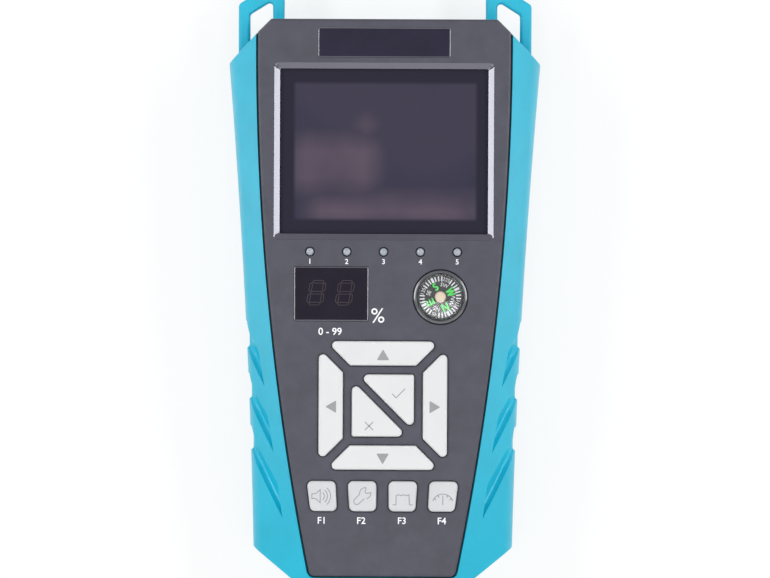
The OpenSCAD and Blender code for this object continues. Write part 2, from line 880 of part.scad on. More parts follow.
module battery_door() color(turquoise) {
    difference() {
        union() {
            translate([0, door_y, 0])
                plate(door_w - 2 * fit, door_l - 2 * fit, 1.8, door_t);
            for (side = [-1, 1])
                block(
                    [tab_w, tab_reach + door_below, tab_t],
                    [side * tab_x, bay_y - bay_l / 2 - door_below / 2 - tab_reach / 2, door_t]
                );
        }
        rod(screw_r + fit, [0, door_screw_y, -over], door_t + 2 * over);
        rod(head_r + fit, [0, door_screw_y, -over], over + head_h / 2);
    }
}

module door_screw() color(steel) {
    screw_up(
        [0, door_screw_y, head_h / 2], screw_r, bay_roof / 2 - 2 * over - head_h / 2,
        head_r, head_h / 2 - seam
    );
}

// Things set into the panel

module name_plate() color(glass_black) {
    translate([0, plate_y, panel_z - plate_t - fit]) plate(plate_w, plate_h, 0.8, plate_t);
}

module screen_window() color(glass_black) {
    translate([0, screen_y, glass_z]) plate(glass_w - 2 * slack, glass_h - 2 * slack, bevel_r / 3, glass_t);
}

module screen_gasket() color(black) {
    translate([0, screen_y, lcd_z + lcd_t]) difference() {
        plate(lcd_w, lcd_h, 1, gasket_t);
        translate([0, 0, -over]) plate(view_w, view_h, 1, gasket_t + 2 * over);
    }
}

module lcd_panel() color(glass_black) {
    block([lcd_w, lcd_h, lcd_t], [0, screen_y, lcd_z]);
}

module lcd_holder() color(charcoal) {
    difference() {
        block([lcd_w, lcd_h, lcd_z - key_board_top], [0, screen_y, key_board_top]);
        block([lcd_w - 12, lcd_h - 12, lcd_z], [0, screen_y, key_board_top - over]);
    }
}

module lcd_ribbon() color(brass) {
    w = 30;
    t = 0.3;
    fold = 2.4;
    y = screen_y - lcd_h / 2;
    z = lcd_z + 0.5;
    block([w, fold, t], [0, y - fold / 2, z]);
    block([w, t, z - key_board_top], [0, y - fold + t / 2, key_board_top]);
    block([w, fold - t, t], [0, y - fold / 2 - t / 2, key_board_top]);
}

module digit_window() color(glass_black) {
    translate([-digit_left, digit_y, digit_floor])
        plate(digit_win_w - 2 * slack, digit_win_h - 2 * slack, 0.6, digit_win_t);
}

module digit_display() color(black) {
    block(
        [digit_w, digit_h, digit_floor - fit - key_board_top],
        [-digit_left, digit_y, key_board_top]
    );
}

// A round-headed lamp on two leads, its tip just above the panel
module lamp(x) {
    r = lamp_d / 2;
    tip = panel_z + 0.5;
    body = 5.3;
    foot = tip - body;
    rod(r, [x, lamp_y, foot], body - r);
    translate([x, lamp_y, tip - r]) sphere(r);
    rod(r + 0.4, [x, lamp_y, foot], 1);
    for (side = [-1, 1]) rod(0.25, [x + side * 0.8, lamp_y, key_board_top], foot - key_board_top + 0.5);
}

module status_lamps() color(key_white) {
    for (k = [0 : lamp_count - 1]) lamp((k - (lamp_count - 1) / 2) * lamp_pitch);
}

// Compass

module in_compass(z) {
    translate([compass_right, compass_y, z]) rotate([0, 0, card_angle]) children();
}

module compass_case() color(charcoal) {
    in_compass(0) difference() {
        union() {
            rod(compass_d / 2, [0, 0, compass_floor - case_floor], compass_h);
            rod(compass_rim_d / 2, [0, 0, compass_seat_z], compass_top - compass_seat_z);
        }
        rod(compass_bore - fit, [0, 0, compass_floor], compass_h);
        rod(compass_bore, [0, 0, lens_z], compass_h);
    }
}

module compass_pivot() color(brass) {
    in_compass(0) {
        rod(pivot_d / 2, [0, 0, compass_floor], pivot_tip - compass_floor - pivot_d / 2);
        translate([0, 0, pivot_tip - pivot_d / 2]) cylinder(r1 = pivot_d / 2, r2 = 0.1, h = pivot_d / 2);
    }
}

module compass_magnet() color(steel) {
    in_compass(0) difference() {
        block([12, 2.6, magnet_t], [0, 0, card_z - magnet_t]);
        rod(pivot_d / 2 + fit, [0, 0, 0], body_t);
    }
}

module compass_card() color(black) {
    in_compass(0) difference() {
        rod(card_d / 2, [0, 0, card_z], card_t);
        rod(pivot_d / 2 + slack, [0, 0, 0], body_t);
    }
}

module compass_cap() color(brass) {
    in_compass(0) difference() {
        rod(cap_r, [0, 0, card_z + card_t], 1);
        rod(pivot_d / 2 + slack, [0, 0, 0], pivot_tip + slack);
    }
}

module compass_lens() color(steel) {
    in_compass(0) rod(compass_bore - slack, [0, 0, lens_z], lens_t);
}

// Keys

module key_cap(key) color(key_white) {
    top = panel_z + key_proud;
    low = panel_back - fit - flange_h;
    at_key(key) {
        loft([
            at_z(key_outline(key, 0), low + flange_h / 2), at_z(key_outline(key, 0), top - key_edge),
            at_z(key_outline(key, -key_edge * 0.3), top - key_edge * 0.3),
            at_z(key_outline(key, -key_edge), top)
        ]);
        translate([0, 0, low])
            linear_extrude(flange_h) polygon(key_outline(key, key_gap + key_rim));
    }
}

module key_mat() color(key_white) {
    y_high = pad_y + pad_w / 2 + 2;
    y_low = function_y - function_h / 2 - 2;
    clear = panel_back - fit - flange_h - key_travel - 2 * fit;
    difference() {
        translate([0, (y_high + y_low) / 2, key_board_top]) plate(mat_w, y_high - y_low, 3, mat_t);
        at_both_sides() rod(post_r + 3 * fit, [key_posts[1].x, key_posts[1].y, 0], body_t);
    }
    for (key = KEYS)
        at_key(key) for (at = dome_places(key))
            translate([at.x, at.y, key_board_top + mat_t / 2])
                cylinder(r1 = 3.6, r2 = 2.6, h = min(dome_h, clear) - key_board_top - mat_t / 2);
}

// Boards and what they carry

module key_board() color(board_green) {
    y_high = y_top - key_board_head;
    y_low = y_bottom + key_board_end;
    difference() {
        block([key_board_w, y_high - y_low, board_t], [0, (y_high + y_low) / 2, key_board_z]);
        at_both_sides() for (at = key_posts)
            rod(small_screw_r + fit, [at.x, at.y, key_board_z - over], board_t + 2 * over);
    }
}

module key_board_screws() color(steel) {
    at_both_sides() for (at = key_posts)
        screw_up([at.x, at.y, key_board_z], small_screw_r, small_screw_l, small_head_r, small_head_h);
}

module board_link() color(black) {
    block([30, 5, key_board_z - main_top], [0, pad_y, main_top]);
}

module main_board() color(board_green) {
    y_high = y_top - board_head;
    y_low = y_bottom + board_end;
    tongue = board_end - tuner_end;
    difference() {
        union() {
            block([main_w, y_high - y_low, board_t], [0, (y_high + y_low) / 2, main_z]);
            block([tuner_w, tongue + over, board_t], [0, y_low - tongue / 2 + over / 2, main_z]);
        }
        at_both_sides() for (at = main_posts)
            rod(small_screw_r + fit, [at.x, at.y, main_z - over], board_t + 2 * over);
    }
}

module main_board_screws() color(steel) {
    at_both_sides() for (at = main_posts) {
        rod(small_screw_r, [at.x, at.y, main_top - small_screw_l], small_screw_l);
        rod(small_head_r, [at.x, at.y, main_top], small_head_h);
    }
}

module tuner_can() color(steel) {
    middle = [0, tuner_y + tuner_l / 2, main_z - tuner_t];
    difference() {
        block([tuner_w, tuner_l, tuner_t], middle);
        block([tuner_w - 2 * can_wall, tuner_l - 2 * can_wall, tuner_t], middle + [0, 0, can_wall]);
    }
}

module aerial_socket() color(brass) {
    thread_r = socket_d / 2;
    outer_l = socket_reach - nut_t - washer_t - fit;
    inside = y_bottom + wall;
    difference() {
        union() {
            y_rod(thread_r, [0, y_bottom - socket_reach, socket_z], outer_l);
            y_rod(
                thread_r - fit, [0, y_bottom - socket_reach + outer_l, socket_z],
                socket_reach - outer_l + wall
            );
            y_rod(flange_r, [0, inside, socket_z], flange_t);
            y_rod(thread_r, [0, inside, socket_z], tuner_end - wall);
        }
        y_rod(thread_r - 1.5, [0, y_bottom - socket_reach - over, socket_z], socket_reach + over);
    }
}

module socket_insulator() color(key_white) {
    difference() {
        y_rod(socket_d / 2 - 1.5, [0, y_bottom - socket_reach + 0.6, socket_z], socket_reach - 0.6);
        y_rod(0.6, [0, y_bottom - socket_reach, socket_z], 6);
    }
}

module socket_washer() color(steel) {
    difference() {
        y_rod(washer_r, [0, y_bottom - washer_t, socket_z], washer_t);
        y_rod(socket_d / 2, [0, y_bottom - washer_t - over, socket_z], washer_t + 2 * over);
    }
}

module socket_nut() color(steel) {
    difference() {
        translate([0, y_bottom - washer_t - nut_t, socket_z]) rotate([-90, 0, 0])
            cylinder(r = nut_af / sqrt(3), h = nut_t, $fn = 6);
        y_rod(socket_d / 2, [0, y_bottom - washer_t - nut_t - over, socket_z], nut_t + 2 * over);
    }
}

module power_inlet() color(black) {
    front = y_top - skirt_t - seam;
    axis_z = main_top + inlet_axis;
    depth = 9;
    difference() {
        block([inlet_w, inlet_l, inlet_h], [-inlet_left, front - inlet_l / 2, main_top]);
        y_rod(inlet_d / 2, [-inlet_left, front - depth, axis_z], depth + over);
    }
    y_rod(1, [-inlet_left, front - depth - over, axis_z], depth);
}

module switch_body() color(steel) {
    front = y_top - skirt_t - seam;
    difference() {
        block([switch_w, switch_l, switch_h], [switch_right, front - switch_l / 2, main_top]);
        block(
            [slider_w + switch_travel + 2 * fit, 2 * channel_t, slider_h + 2 * fit],
            [switch_right, front, main_top + switch_axis - slider_h / 2 - fit]
        );
    }
}

module switch_slider() color(black) {
    low = y_top - skirt_t - seam - channel_t + fit;
    high = y_top - 2 * fit;
    block(
        [slider_w, high - low, slider_h],
        [switch_right - switch_travel / 2, (low + high) / 2, main_top + switch_axis - slider_h / 2]
    );
}

module battery_pack() color(steel) {
    translate([0, bay_y + pack_l / 2, pack_z]) rotate([90, 0, 0]) linear_extrude(pack_l) union() {
        for (side = [-1, 1]) translate([side * cell_d / 2, 0]) circle(d = cell_d);
        square([cell_d, cell_d], center = true);
    }
}

module battery_lead() color("firebrick") {
    start = bay_y + pack_l / 2;
    for (side = [-1, 1])
        y_rod(wire_r, [side * wire_x, start, pack_z + 4], door_screw_y - start);
}

module battery_plug() color(key_white) {
    low = bay_roof / 2 + over;
    block([plug_w, plug_l, main_z - low], [0, door_screw_y + plug_l / 2, low]);
}

module sounder() color(black) {
    rod(sounder_r, [0, y_top - sounder_drop, wall], sounder_t);
}

rear_shell();
front_shell();
shell_screws();
battery_door();
door_screw();
name_plate();
screen_window();
screen_gasket();
lcd_panel();
lcd_holder();
lcd_ribbon();
digit_window();
digit_display();
status_lamps();
compass_case();
compass_pivot();
compass_magnet();
compass_card();
compass_cap();
compass_lens();
key_cap(KEYS[0]);  // key_up
key_cap(KEYS[1]);  // key_left
key_cap(KEYS[2]);  // key_down
key_cap(KEYS[3]);  // key_right
key_cap(KEYS[4]);  // key_ok
key_cap(KEYS[5]);  // key_exit
key_cap(KEYS[6]);  // key_alarm
key_cap(KEYS[7]);  // key_tools
key_cap(KEYS[8]);  // key_spectrum
key_cap(KEYS[9]);  // key_meter
key_mat();
key_board();
key_board_screws();
board_link();
main_board();
main_board_screws();
tuner_can();
aerial_socket();
socket_insulator();
socket_washer();
socket_nut();
power_inlet();
switch_body();
switch_slider();
battery_pack();
battery_lead();
battery_plug();
sounder();
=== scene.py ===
import math
from types import SimpleNamespace

import bmesh
import bpy
from mathutils import Matrix, Vector

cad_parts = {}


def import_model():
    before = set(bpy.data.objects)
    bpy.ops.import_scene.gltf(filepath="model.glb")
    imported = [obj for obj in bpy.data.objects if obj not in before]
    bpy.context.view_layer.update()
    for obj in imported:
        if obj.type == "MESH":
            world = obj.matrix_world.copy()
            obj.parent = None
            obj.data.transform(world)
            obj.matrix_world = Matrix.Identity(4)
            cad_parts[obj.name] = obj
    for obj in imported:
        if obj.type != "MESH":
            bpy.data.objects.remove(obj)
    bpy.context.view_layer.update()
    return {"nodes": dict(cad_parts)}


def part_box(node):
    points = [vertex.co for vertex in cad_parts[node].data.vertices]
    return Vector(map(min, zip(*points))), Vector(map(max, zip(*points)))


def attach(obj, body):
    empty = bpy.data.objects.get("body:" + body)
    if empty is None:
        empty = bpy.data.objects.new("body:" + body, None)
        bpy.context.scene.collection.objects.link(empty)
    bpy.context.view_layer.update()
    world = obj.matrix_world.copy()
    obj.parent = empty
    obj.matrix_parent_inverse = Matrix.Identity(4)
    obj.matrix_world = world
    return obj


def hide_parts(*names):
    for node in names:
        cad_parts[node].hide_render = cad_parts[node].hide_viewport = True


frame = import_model()

# Sizes are in millimetres. A finished mesh is turned into metres when it is settled on its body.
MM = 0.001


def node_box(name):
    """A node's box: its lowest and highest corner, middle and size."""
    low, high = (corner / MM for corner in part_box(name))
    return SimpleNamespace(low=low, high=high, mid=(low + high) / 2, size=high - low)


# Places read from the frame
REAR = node_box("rear_shell")
FRONT = node_box("front_shell")
SCREEN = node_box("screen_window")
PLATE = node_box("name_plate")
LAMPS = node_box("status_lamps")
DIGITS = node_box("digit_window")
CASE = node_box("compass_case")
CARD = node_box("compass_card")
DOOR_SCREW = node_box("door_screw")
NUT = node_box("socket_nut")
SOCKET = node_box("aerial_socket")
SLIDER = node_box("switch_slider")
Y_TOP = FRONT.high.y
Y_MAX = REAR.high.y
Y_BOTTOM = REAR.low.y
PANEL_Z = FRONT.high.z
RIM_Z = REAR.high.z
PAD_Y = (node_box("key_up").high.y + node_box("key_down").low.y) / 2
FUNCTION_Y = node_box("key_alarm").mid.y
KEY_Z = node_box("key_ok").high.z
KEY_FOOT_Z = node_box("key_ok").low.z

# Body
SHOULDER_W = 121.9
HIP_W = 101.4
WAIST_IN = 1.6
TOP_CUT = 17.3
BOTTOM_CUT_W = 22.9
BOTTOM_CUT_H = 17.8
SIDE_Z = 27
SIDE_DRAFT = 2
SHOULDER_EDGE_R = 22
HIP_EDGE_R = 11
BACK_R = 7
END_R = 3
RIM_R = 1.2
CORNER_R = 1.2
WALL = 2.8
Y_SHOULDER = Y_TOP - TOP_CUT
Y_HIP = Y_BOTTOM + BOTTOM_CUT_H
Y_MIDDLE = (Y_SHOULDER + Y_HIP) / 2
CUT_SUM = SHOULDER_W / 2 + Y_SHOULDER

# Front panel
PANEL_TOP_W = 97.6
PANEL_BOTTOM_W = 56
PANEL_R = 2.4
PANEL_T = 3
PANEL_GAP = 0.5
PANEL_EDGE = ((0, 0.8), (0.06, 0.5), (0.18, 0.28), (0.72, 0.05), (0.9, 0))
SKIRT_T = 2.2
SKIRT_H = 5
TOP_SPLIT_Z = 22
PANEL_WIDE_Y = Y_TOP - 9
PANEL_BOTTOM_Y = FRONT.low.y

# Things set into the panel
FRAME_W = 2.5
FRAME_H = 2.5
GLASS_W = SCREEN.size.x + 0.7
FRAME_R = 2.0
FRAME_INNER_R = 0.7
FRAME_SLOPE_OUT = 21
FRAME_SLOPE_IN = 25
FRAME_STEPS = 5
FRAME_EDGE = 0.12
FRAME_CREST = 0.2
FRAME_LIP = 0.15
GLASS_EDGE = 0.12
VIEW_W = 72.4
VIEW_H = 55
LAMP_COUNT = 5
LAMP_PITCH = 14.2
LAMP_R = 1.5
LAMP_DOME_H = 0.9
LAMP_DOME_TURNS = (0, 0.3, 0.6, 0.9, 1.2, 1.45)

# Keys
PAD_W = 49.6
BAR_W = 9.4
BAR_SLIT = 3.8
CORE_W = 24
CORE_SLIT = 3.1
FUNCTION_H = 11.7
FUNCTION_TOP_W = 11.2
FUNCTION_BOTTOM_W = 10.3
FUNCTION_TOP_PITCH = 15.8
FUNCTION_BOTTOM_PITCH = 15.1
FUNCTION_R = 2
KEY_R = 1.7
KEY_GAP = 0.22
KEY_EDGE = 0.7
FLANGE_W = 0.95
FLANGE_T = 1.8

# Small clearances
OVER = 1
SEAM = 0.1
PRINT_T = 0.04
SINK = 0.01
WELD = 0.0005

# Sides of round holes and pieces
HOLE_SIDES = 24
LAMP_SIDES = 32
CUP_SIDES = 72


# Outlines

def lerp(a, b, t):
    return a + (b - a) * t


def rounded(corners, steps=6):
    """Points of a closed anticlockwise outline. A corner is (x, y, radius), and may end in a height."""
    points = []
    for i, corner in enumerate(corners):
        here = Vector(corner[:2])
        radius = corner[2]
        height = tuple(corner[3:])
        if radius <= 0:
            points.append(Vector((*here, *height)))
            continue
        back = (Vector(corners[i - 1][:2]) - here).normalized()
        ahead = (Vector(corners[(i + 1) % len(corners)][:2]) - here).normalized()
        half = back.angle(ahead) / 2
        middle = here + (back + ahead).normalized() * radius / math.sin(half)
        first = here + back * radius / math.tan(half) - middle
        start = math.atan2(first.y, first.x)
        turn = math.copysign(math.pi - 2 * half, ahead.cross(back))
        for k in range(steps + 1):
            a = start + turn * k / steps
            spot = middle + radius * Vector((math.cos(a), math.sin(a)))
            points.append(Vector((*spot, *height)))
    return points


def both_sides(right):
    """The corners of a right half, then those of its mirror image, as one anticlockwise outline."""
    return right + [(-x, *rest) for x, *rest in reversed(right)]


def rectangle(w, h, r, x=0, y=0, steps=6):
    return rounded([
        (x + w / 2, y - h / 2, r), (x + w / 2, y + h / 2, r),
        (x - w / 2, y + h / 2, r), (x - w / 2, y - h / 2, r),
    ], steps)


def circle(r, x=0, y=0, steps=48):
    return arc(x, y, r, 0, 360 * (1 - 1 / steps), steps - 1)


def arc(x, y, r, start, end, steps=12):
    """Points on an arc, with its angles in degrees."""
    angles = [math.radians(lerp(start, end, k / steps)) for k in range(steps + 1)]
    return [Vector((x + r * math.cos(a), y + r * math.sin(a))) for a in angles]


def grown(outline, d):
    """A closed anticlockwise outline with each side moved outwards by d."""
    count = len(outline)
    points = []
    for i, here in enumerate(outline):
        back = (here - outline[i - 1]).normalized()
        ahead = (outline[(i + 1) % count] - here).normalized()
        out_back = Vector((back.y, -back.x))
        out_ahead = Vector((ahead.y, -ahead.x))
        points.append(here + (out_back + out_ahead) * d / (1 + out_back.dot(out_ahead)))
    return points


def at_z(outline, z):
    return [Vector((p.x, p.y, z)) for p in outline]


# Solids

def add_object(name, bm):
    mesh = bpy.data.meshes.new(name)
    bm.to_mesh(mesh)
    bm.free()
    made = bpy.data.objects.new(name, mesh)
    bpy.context.scene.collection.objects.link(made)
    return made


def stacked(name, rings, loop=False):
    """A closed solid through rings of as many points each. The last ring joins the first in a loop,
    and otherwise both ends are capped."""
    bm = bmesh.new()
    levels = [[bm.verts.new(p) for p in ring] for ring in rings]
    following = levels[1:] + levels[:1] if loop else levels[1:]
    for low, high in zip(levels, following):
        for i in range(len(low)):
            j = (i + 1) % len(low)
            bm.faces.new((low[i], low[j], high[j], high[i]))
    if not loop:
        bm.faces.new(levels[0][::-1])
        bm.faces.new(levels[-1])
    bmesh.ops.recalc_face_normals(bm, faces=bm.faces)
    return add_object(name, bm)


QUARTER_STEPS = 4


def quarter(edge, steps=QUARTER_STEPS):
    """Insets and drops along a quarter round, from the upright side to the flat."""
    angles = [math.pi / 2 * k / steps for k in range(steps + 1)]
    return [(edge * (1 - math.cos(a)), edge * (1 - math.sin(a))) for a in angles]


def slab(name, outline, low, high, edge=0.0, foot=0.0):
    """An upright solid with its upper edge, and its lower one, rounded."""
    rings = [at_z(grown(outline, -inset), low + drop) for inset, drop in reversed(quarter(foot))]
    rings += [at_z(grown(outline, -inset), high - drop) for inset, drop in quarter(edge)]
    if foot == 0:
        rings = rings[QUARTER_STEPS:]
    if edge == 0:
        rings = rings[:-QUARTER_STEPS]
    return stacked(name, rings)


def hole(outline, low, high, edge=0.0, foot=0.0):
    """A cutter between two faces that leaves the hole's upper edge, and its lower one, rounded."""
    rings = []
    if foot:
        rings.append(at_z(grown(outline, foot), low - OVER))
        rings += [at_z(grown(outline, inset), low + drop) for inset, drop in reversed(quarter(foot))]
    else:
        rings.append(at_z(outline, low))
    if edge:
        rings += [at_z(grown(outline, inset), high - drop) for inset, drop in quarter(edge)]
        rings.append(at_z(grown(outline, edge), high + OVER))
    else:
        rings.append(at_z(outline, high))
    return stacked("hole", rings)


def turned(name, profile, x=0, y=0, steps=64, loop=False):
    """A solid turned about an upright axis, from (radius, height) pairs."""
    return stacked(name, [at_z(circle(r, x, y, steps), z) for r, z in profile], loop)


def along_y(piece, x, z):
    """Lays a solid that was made about the upright axis along the y axis, its heights as y."""
    piece.data.transform(Matrix(((1, 0, 0, x), (0, 0, 1, 0), (0, -1, 0, z), (0, 0, 0, 1))))
    return piece


def take_mesh(piece):
    """Makes what the modifiers show the piece's own mesh."""
    graph = bpy.context.evaluated_depsgraph_get()
    mesh = bpy.data.meshes.new_from_object(piece.evaluated_get(graph))
    piece.modifiers.clear()
    piece.data = mesh


def carved(piece, others, operation="DIFFERENCE"):
    """The piece with the other solids cut away from it, or joined to it."""
    for other in others:
        boolean = piece.modifiers.new("carve", "BOOLEAN")
        boolean.object = other
        boolean.operation = operation
        boolean.solver = "MANIFOLD"
    take_mesh(piece)
    for other in others:
        bpy.data.objects.remove(other)
    return piece


def gathered(name, parts):
    """Separate solids in one object."""
    bm = bmesh.new()
    for part in parts:
        bm.from_mesh(part.data)
        bpy.data.objects.remove(part)
    return add_object(name, bm)


def settle(piece, body, finish, stands_for=(), sharp=30):
    """Turns a finished mesh into metres, shades it and lets it ride on its body."""
    bm = bmesh.new()
    bm.from_mesh(piece.data)
    bmesh.ops.remove_doubles(bm, verts=bm.verts, dist=WELD)
    bmesh.ops.dissolve_degenerate(bm, edges=bm.edges, dist=WELD)
    bm.to_mesh(piece.data)
    bm.free()
    piece.data.transform(Matrix.Scale(MM, 4))
    piece.data.materials.clear()
    piece.data.materials.append(finish)
    piece.data.shade_smooth()
    piece.data.set_sharp_from_angle(angle=math.radians(sharp))
    weighted = piece.modifiers.new("even shading", "WEIGHTED_NORMAL")
    weighted.keep_sharp = True
    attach(piece, body)
    if stands_for:
        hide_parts(*stands_for)
    return piece


# Copies made with geometry nodes

COPIES_INPUTS = (
    ("Part", "Object"), ("Count", "Int"), ("Start", "Vector"), ("Step", "Vector"), ("Finish", "Material"),
)


def copies_tree(name, in_ring):
    """A tree that sets copies of a part in a row or in a ring, as one mesh of one finish."""
    tree = bpy.data.node_groups.new(name, "GeometryNodeTree")
    face = tree.interface
    for title, kind in COPIES_INPUTS:
        face.new_socket(title, in_out="INPUT", socket_type="NodeSocket" + kind)
    face.new_socket("Geometry", in_out="OUTPUT", socket_type="NodeSocketGeometry")
    add = tree.nodes.new
    link = tree.links.new
    given = add("NodeGroupInput")
    part = add("GeometryNodeObjectInfo")
    line = add("GeometryNodeMeshLine")
    place = add("GeometryNodeInstanceOnPoints")
    realize = add("GeometryNodeRealizeInstances")
    paint = add("GeometryNodeSetMaterial")
    result = add("NodeGroupOutput")
    link(given.outputs["Part"], part.inputs["Object"])
    link(given.outputs["Count"], line.inputs["Count"])
    link(given.outputs["Start"], line.inputs["Start Location"])
    link(line.outputs["Mesh"], place.inputs["Points"])
    link(part.outputs["Geometry"], place.inputs["Instance"])
    if in_ring:
        index = add("GeometryNodeInputIndex")
        turn = add("ShaderNodeVectorMath")
        turn.operation = "SCALE"
        line.inputs["Offset"].default_value = (0, 0, 0)
        link(given.outputs["Step"], turn.inputs[0])
        link(index.outputs["Index"], turn.inputs["Scale"])
        link(turn.outputs["Vector"], place.inputs["Rotation"])
    else:
        link(given.outputs["Step"], line.inputs["Offset"])
    link(place.outputs["Instances"], realize.inputs["Geometry"])
    link(realize.outputs["Geometry"], paint.inputs["Geometry"])
    link(given.outputs["Finish"], paint.inputs["Material"])
    link(paint.outputs["Geometry"], result.inputs["Geometry"])
    return tree


ROW_TREE = copies_tree("row_of_copies", in_ring=False)
RING_TREE = copies_tree("ring_of_copies", in_ring=True)


def copies(name, part, count, start, step, finish, tree=ROW_TREE):
    """Copies of a part, which is used up: a row with a step between neighbours, or a ring with a turn."""
    made = add_object(name, bmesh.new())
    modifier = made.modifiers.new("copies", "NODES")
    modifier.node_group = tree
    values = {"Part": part, "Count": count, "Start": start, "Step": step, "Finish": finish}
    for socket in tree.interface.items_tree:
        if socket.in_out == "INPUT":
            modifier[socket.identifier] = values[socket.name]
    take_mesh(made)
    bpy.data.objects.remove(part)
    return made


# Finishes

# Sockets of a colour mix, by number, because several share a name
MIX_FACTOR = 0
MIX_FIRST = 6
MIX_SECOND = 7
MIX_RESULT = 2
# Moulded, metal and polished finishes
MOULD_ROUGH_BY = 0.05
METAL_LINE_W = 0.6
METAL_LINE_H = 0.004
METAL_CLOUD_W = 3
METAL_SHADES = (0.88, 1.06)
METAL_ROUGH_BY = (0.06, 0.08)
POLISH_CLOUD_W = 9
POLISH_SMEAR_W = 6
POLISH_WAVE_W = 20
POLISH_WAVE_H = 0.002
POLISH_MOTTLE = 0.1
# Screen: its picture area, and painted reflections in it as paler patches, each as a middle and half sizes
# from the screen's middle
PICTURE_W = 70.08
PICTURE_H = 52.56
PICTURE_SHIFT = 0.5
PICTURE_EDGE = 0.7
PICTURE_DARK = (0.024, 0.025, 0.048)
PALE_TONE_AND_REFLECTION = (0.098, 0.072, 0.1)
PAINTED_REFLECTION_PATCHES = ((-19, -5, 17, 11), (-7, 10, 5, 4), (6, -23, 36, 6))
REFLECTION_PATCH_SOFT = 6
REFLECTION_CLOUD_W = 24
# Noise that makes the picture's tone uneven at random
HAZE_W = 50
HAZE_MOST = 0.22
BORDER_DARK = (0.018, 0.016, 0.030)
SCREEN_SPECULAR = 0.13
SCREEN_WAVE_W = 30
SCREEN_WAVE_H = 0.001
SCREEN_SMEAR_W = 8
SCREEN_ROUGH = (0.04, 0.08)
LENS_IOR = 1.34
LENS_TINT = (0.97, 0.98, 0.98, 1)
LENS_SMEAR_W = 3
LENS_ROUGH = (0.0, 0.02)


def start_finish(name):
    """A new material, with what the functions below need to wire it."""
    finish = bpy.data.materials.new(name)
    finish.use_nodes = True
    nodes = finish.node_tree.nodes
    return SimpleNamespace(
        made=finish, add=nodes.new, link=finish.node_tree.links.new,
        shader=nodes["Principled BSDF"], place=nodes.new("ShaderNodeTexCoord").outputs["Object"],
    )


def noise(f, size, detail=3.0, stretch=None):
    """Even noise whose spots are about size millimetres across."""
    texture = f.add("ShaderNodeTexNoise")
    texture.inputs["Scale"].default_value = 1 / (size * MM)
    texture.inputs["Detail"].default_value = detail
    if stretch:
        turn = f.add("ShaderNodeMapping")
        turn.inputs["Scale"].default_value = stretch
        f.link(f.place, turn.inputs["Vector"])
        f.link(turn.outputs["Vector"], texture.inputs["Vector"])
    else:
        f.link(f.place, texture.inputs["Vector"])
    return texture.outputs["Fac"]


def spread(f, value, low, high, start=0.3, end=0.7):
    """A noise value spread over a range."""
    node = f.add("ShaderNodeMapRange")
    node.inputs["From Min"].default_value = start
    node.inputs["From Max"].default_value = end
    node.inputs["To Min"].default_value = low
    node.inputs["To Max"].default_value = high
    f.link(value, node.inputs["Value"])
    return node.outputs["Result"]


def tint(f, factor, dark, light):
    """A colour between two others."""
    node = f.add("ShaderNodeMix")
    node.data_type = "RGBA"
    for socket, colour in ((node.inputs[MIX_FIRST], dark), (node.inputs[MIX_SECOND], light)):
        if isinstance(colour, tuple):
            socket.default_value = (*colour, 1)
        else:
            f.link(colour, socket)
    f.link(factor, node.inputs[MIX_FACTOR])
    return node.outputs[MIX_RESULT]


def emboss(f, value, height):
    """Bump whose full height is in millimetres."""
    node = f.add("ShaderNodeBump")
    node.inputs["Strength"].default_value = 1
    node.inputs["Distance"].default_value = height * MM
    f.link(value, node.inputs["Height"])
    return node.outputs["Normal"]


def shade(colour, amount):
    return tuple(channel * amount for channel in colour)


def dress(f, colour, rough, normal):
    """Links a colour, a roughness and a normal to the shader."""
    for socket, value in (("Base Color", colour), ("Roughness", rough), ("Normal", normal)):
        f.link(value, f.shader.inputs[socket])
    return f.made


def moulded(name, colour, rough, grain=0.35, grain_h=0.006, mottle=0.08, patch=14.0, specular=0.5):
    """Moulded plastic: a slightly uneven colour and gloss, over a fine grain from the mould."""
    f = start_finish(name)
    clouds = spread(f, noise(f, patch, detail=4), 0, 1)
    shades = tint(f, clouds, shade(colour, 1 - mottle), shade(colour, 1 + mottle))
    gloss = spread(f, noise(f, patch / 3), rough - MOULD_ROUGH_BY, rough + MOULD_ROUGH_BY)
    f.shader.inputs["Specular IOR Level"].default_value = specular
    return dress(f, shades, gloss, emboss(f, noise(f, grain, detail=2), grain_h))


def metal(name, colour, rough, stretch=(1, 1, 1)):
    """Plated or turned metal with fine lines, which run across the axis of the greater stretch."""
    f = start_finish(name)
    lines = noise(f, METAL_LINE_W, stretch=stretch)
    dark, light = METAL_SHADES
    shades = tint(f, spread(f, lines, 0, 1), shade(colour, dark), shade(colour, light))
    less, more = METAL_ROUGH_BY
    gloss = spread(f, noise(f, METAL_CLOUD_W), rough - less, rough + more)
    f.shader.inputs["Metallic"].default_value = 1
    return dress(f, shades, gloss, emboss(f, lines, METAL_LINE_H))


def ink(name, colour, rough=0.5):
    """Printed ink: like moulded plastic, with the finest grain."""
    return moulded(name, colour, rough, grain=0.15, mottle=0.05, patch=1.5)


def polished(name, colour, rough=0.06, smear=0.03, specular=0.5, sheen=(1, 1, 1)):
    """Polished dark plastic or glass with faint smears."""
    f = start_finish(name)
    clouds = spread(f, noise(f, POLISH_CLOUD_W, detail=4), 0, 1)
    shades = tint(f, clouds, shade(colour, 1 - POLISH_MOTTLE), shade(colour, 1 + POLISH_MOTTLE))
    gloss = spread(f, noise(f, POLISH_SMEAR_W, detail=5), rough, rough + smear)
    f.shader.inputs["Specular IOR Level"].default_value = specular
    f.shader.inputs["Specular Tint"].default_value = (*sheen, 1)
    return dress(f, shades, gloss, emboss(f, noise(f, POLISH_WAVE_W, detail=1), POLISH_WAVE_H))


def maths(f, operation, *values):
    """A sum done on the surface, from numbers and from other nodes' values."""
    node = f.add("ShaderNodeMath")
    node.operation = operation
    for socket, value in zip(node.inputs, values):
        if isinstance(value, (int, float)):
            socket.default_value = value
        else:
            f.link(value, socket)
    return node.outputs["Value"]


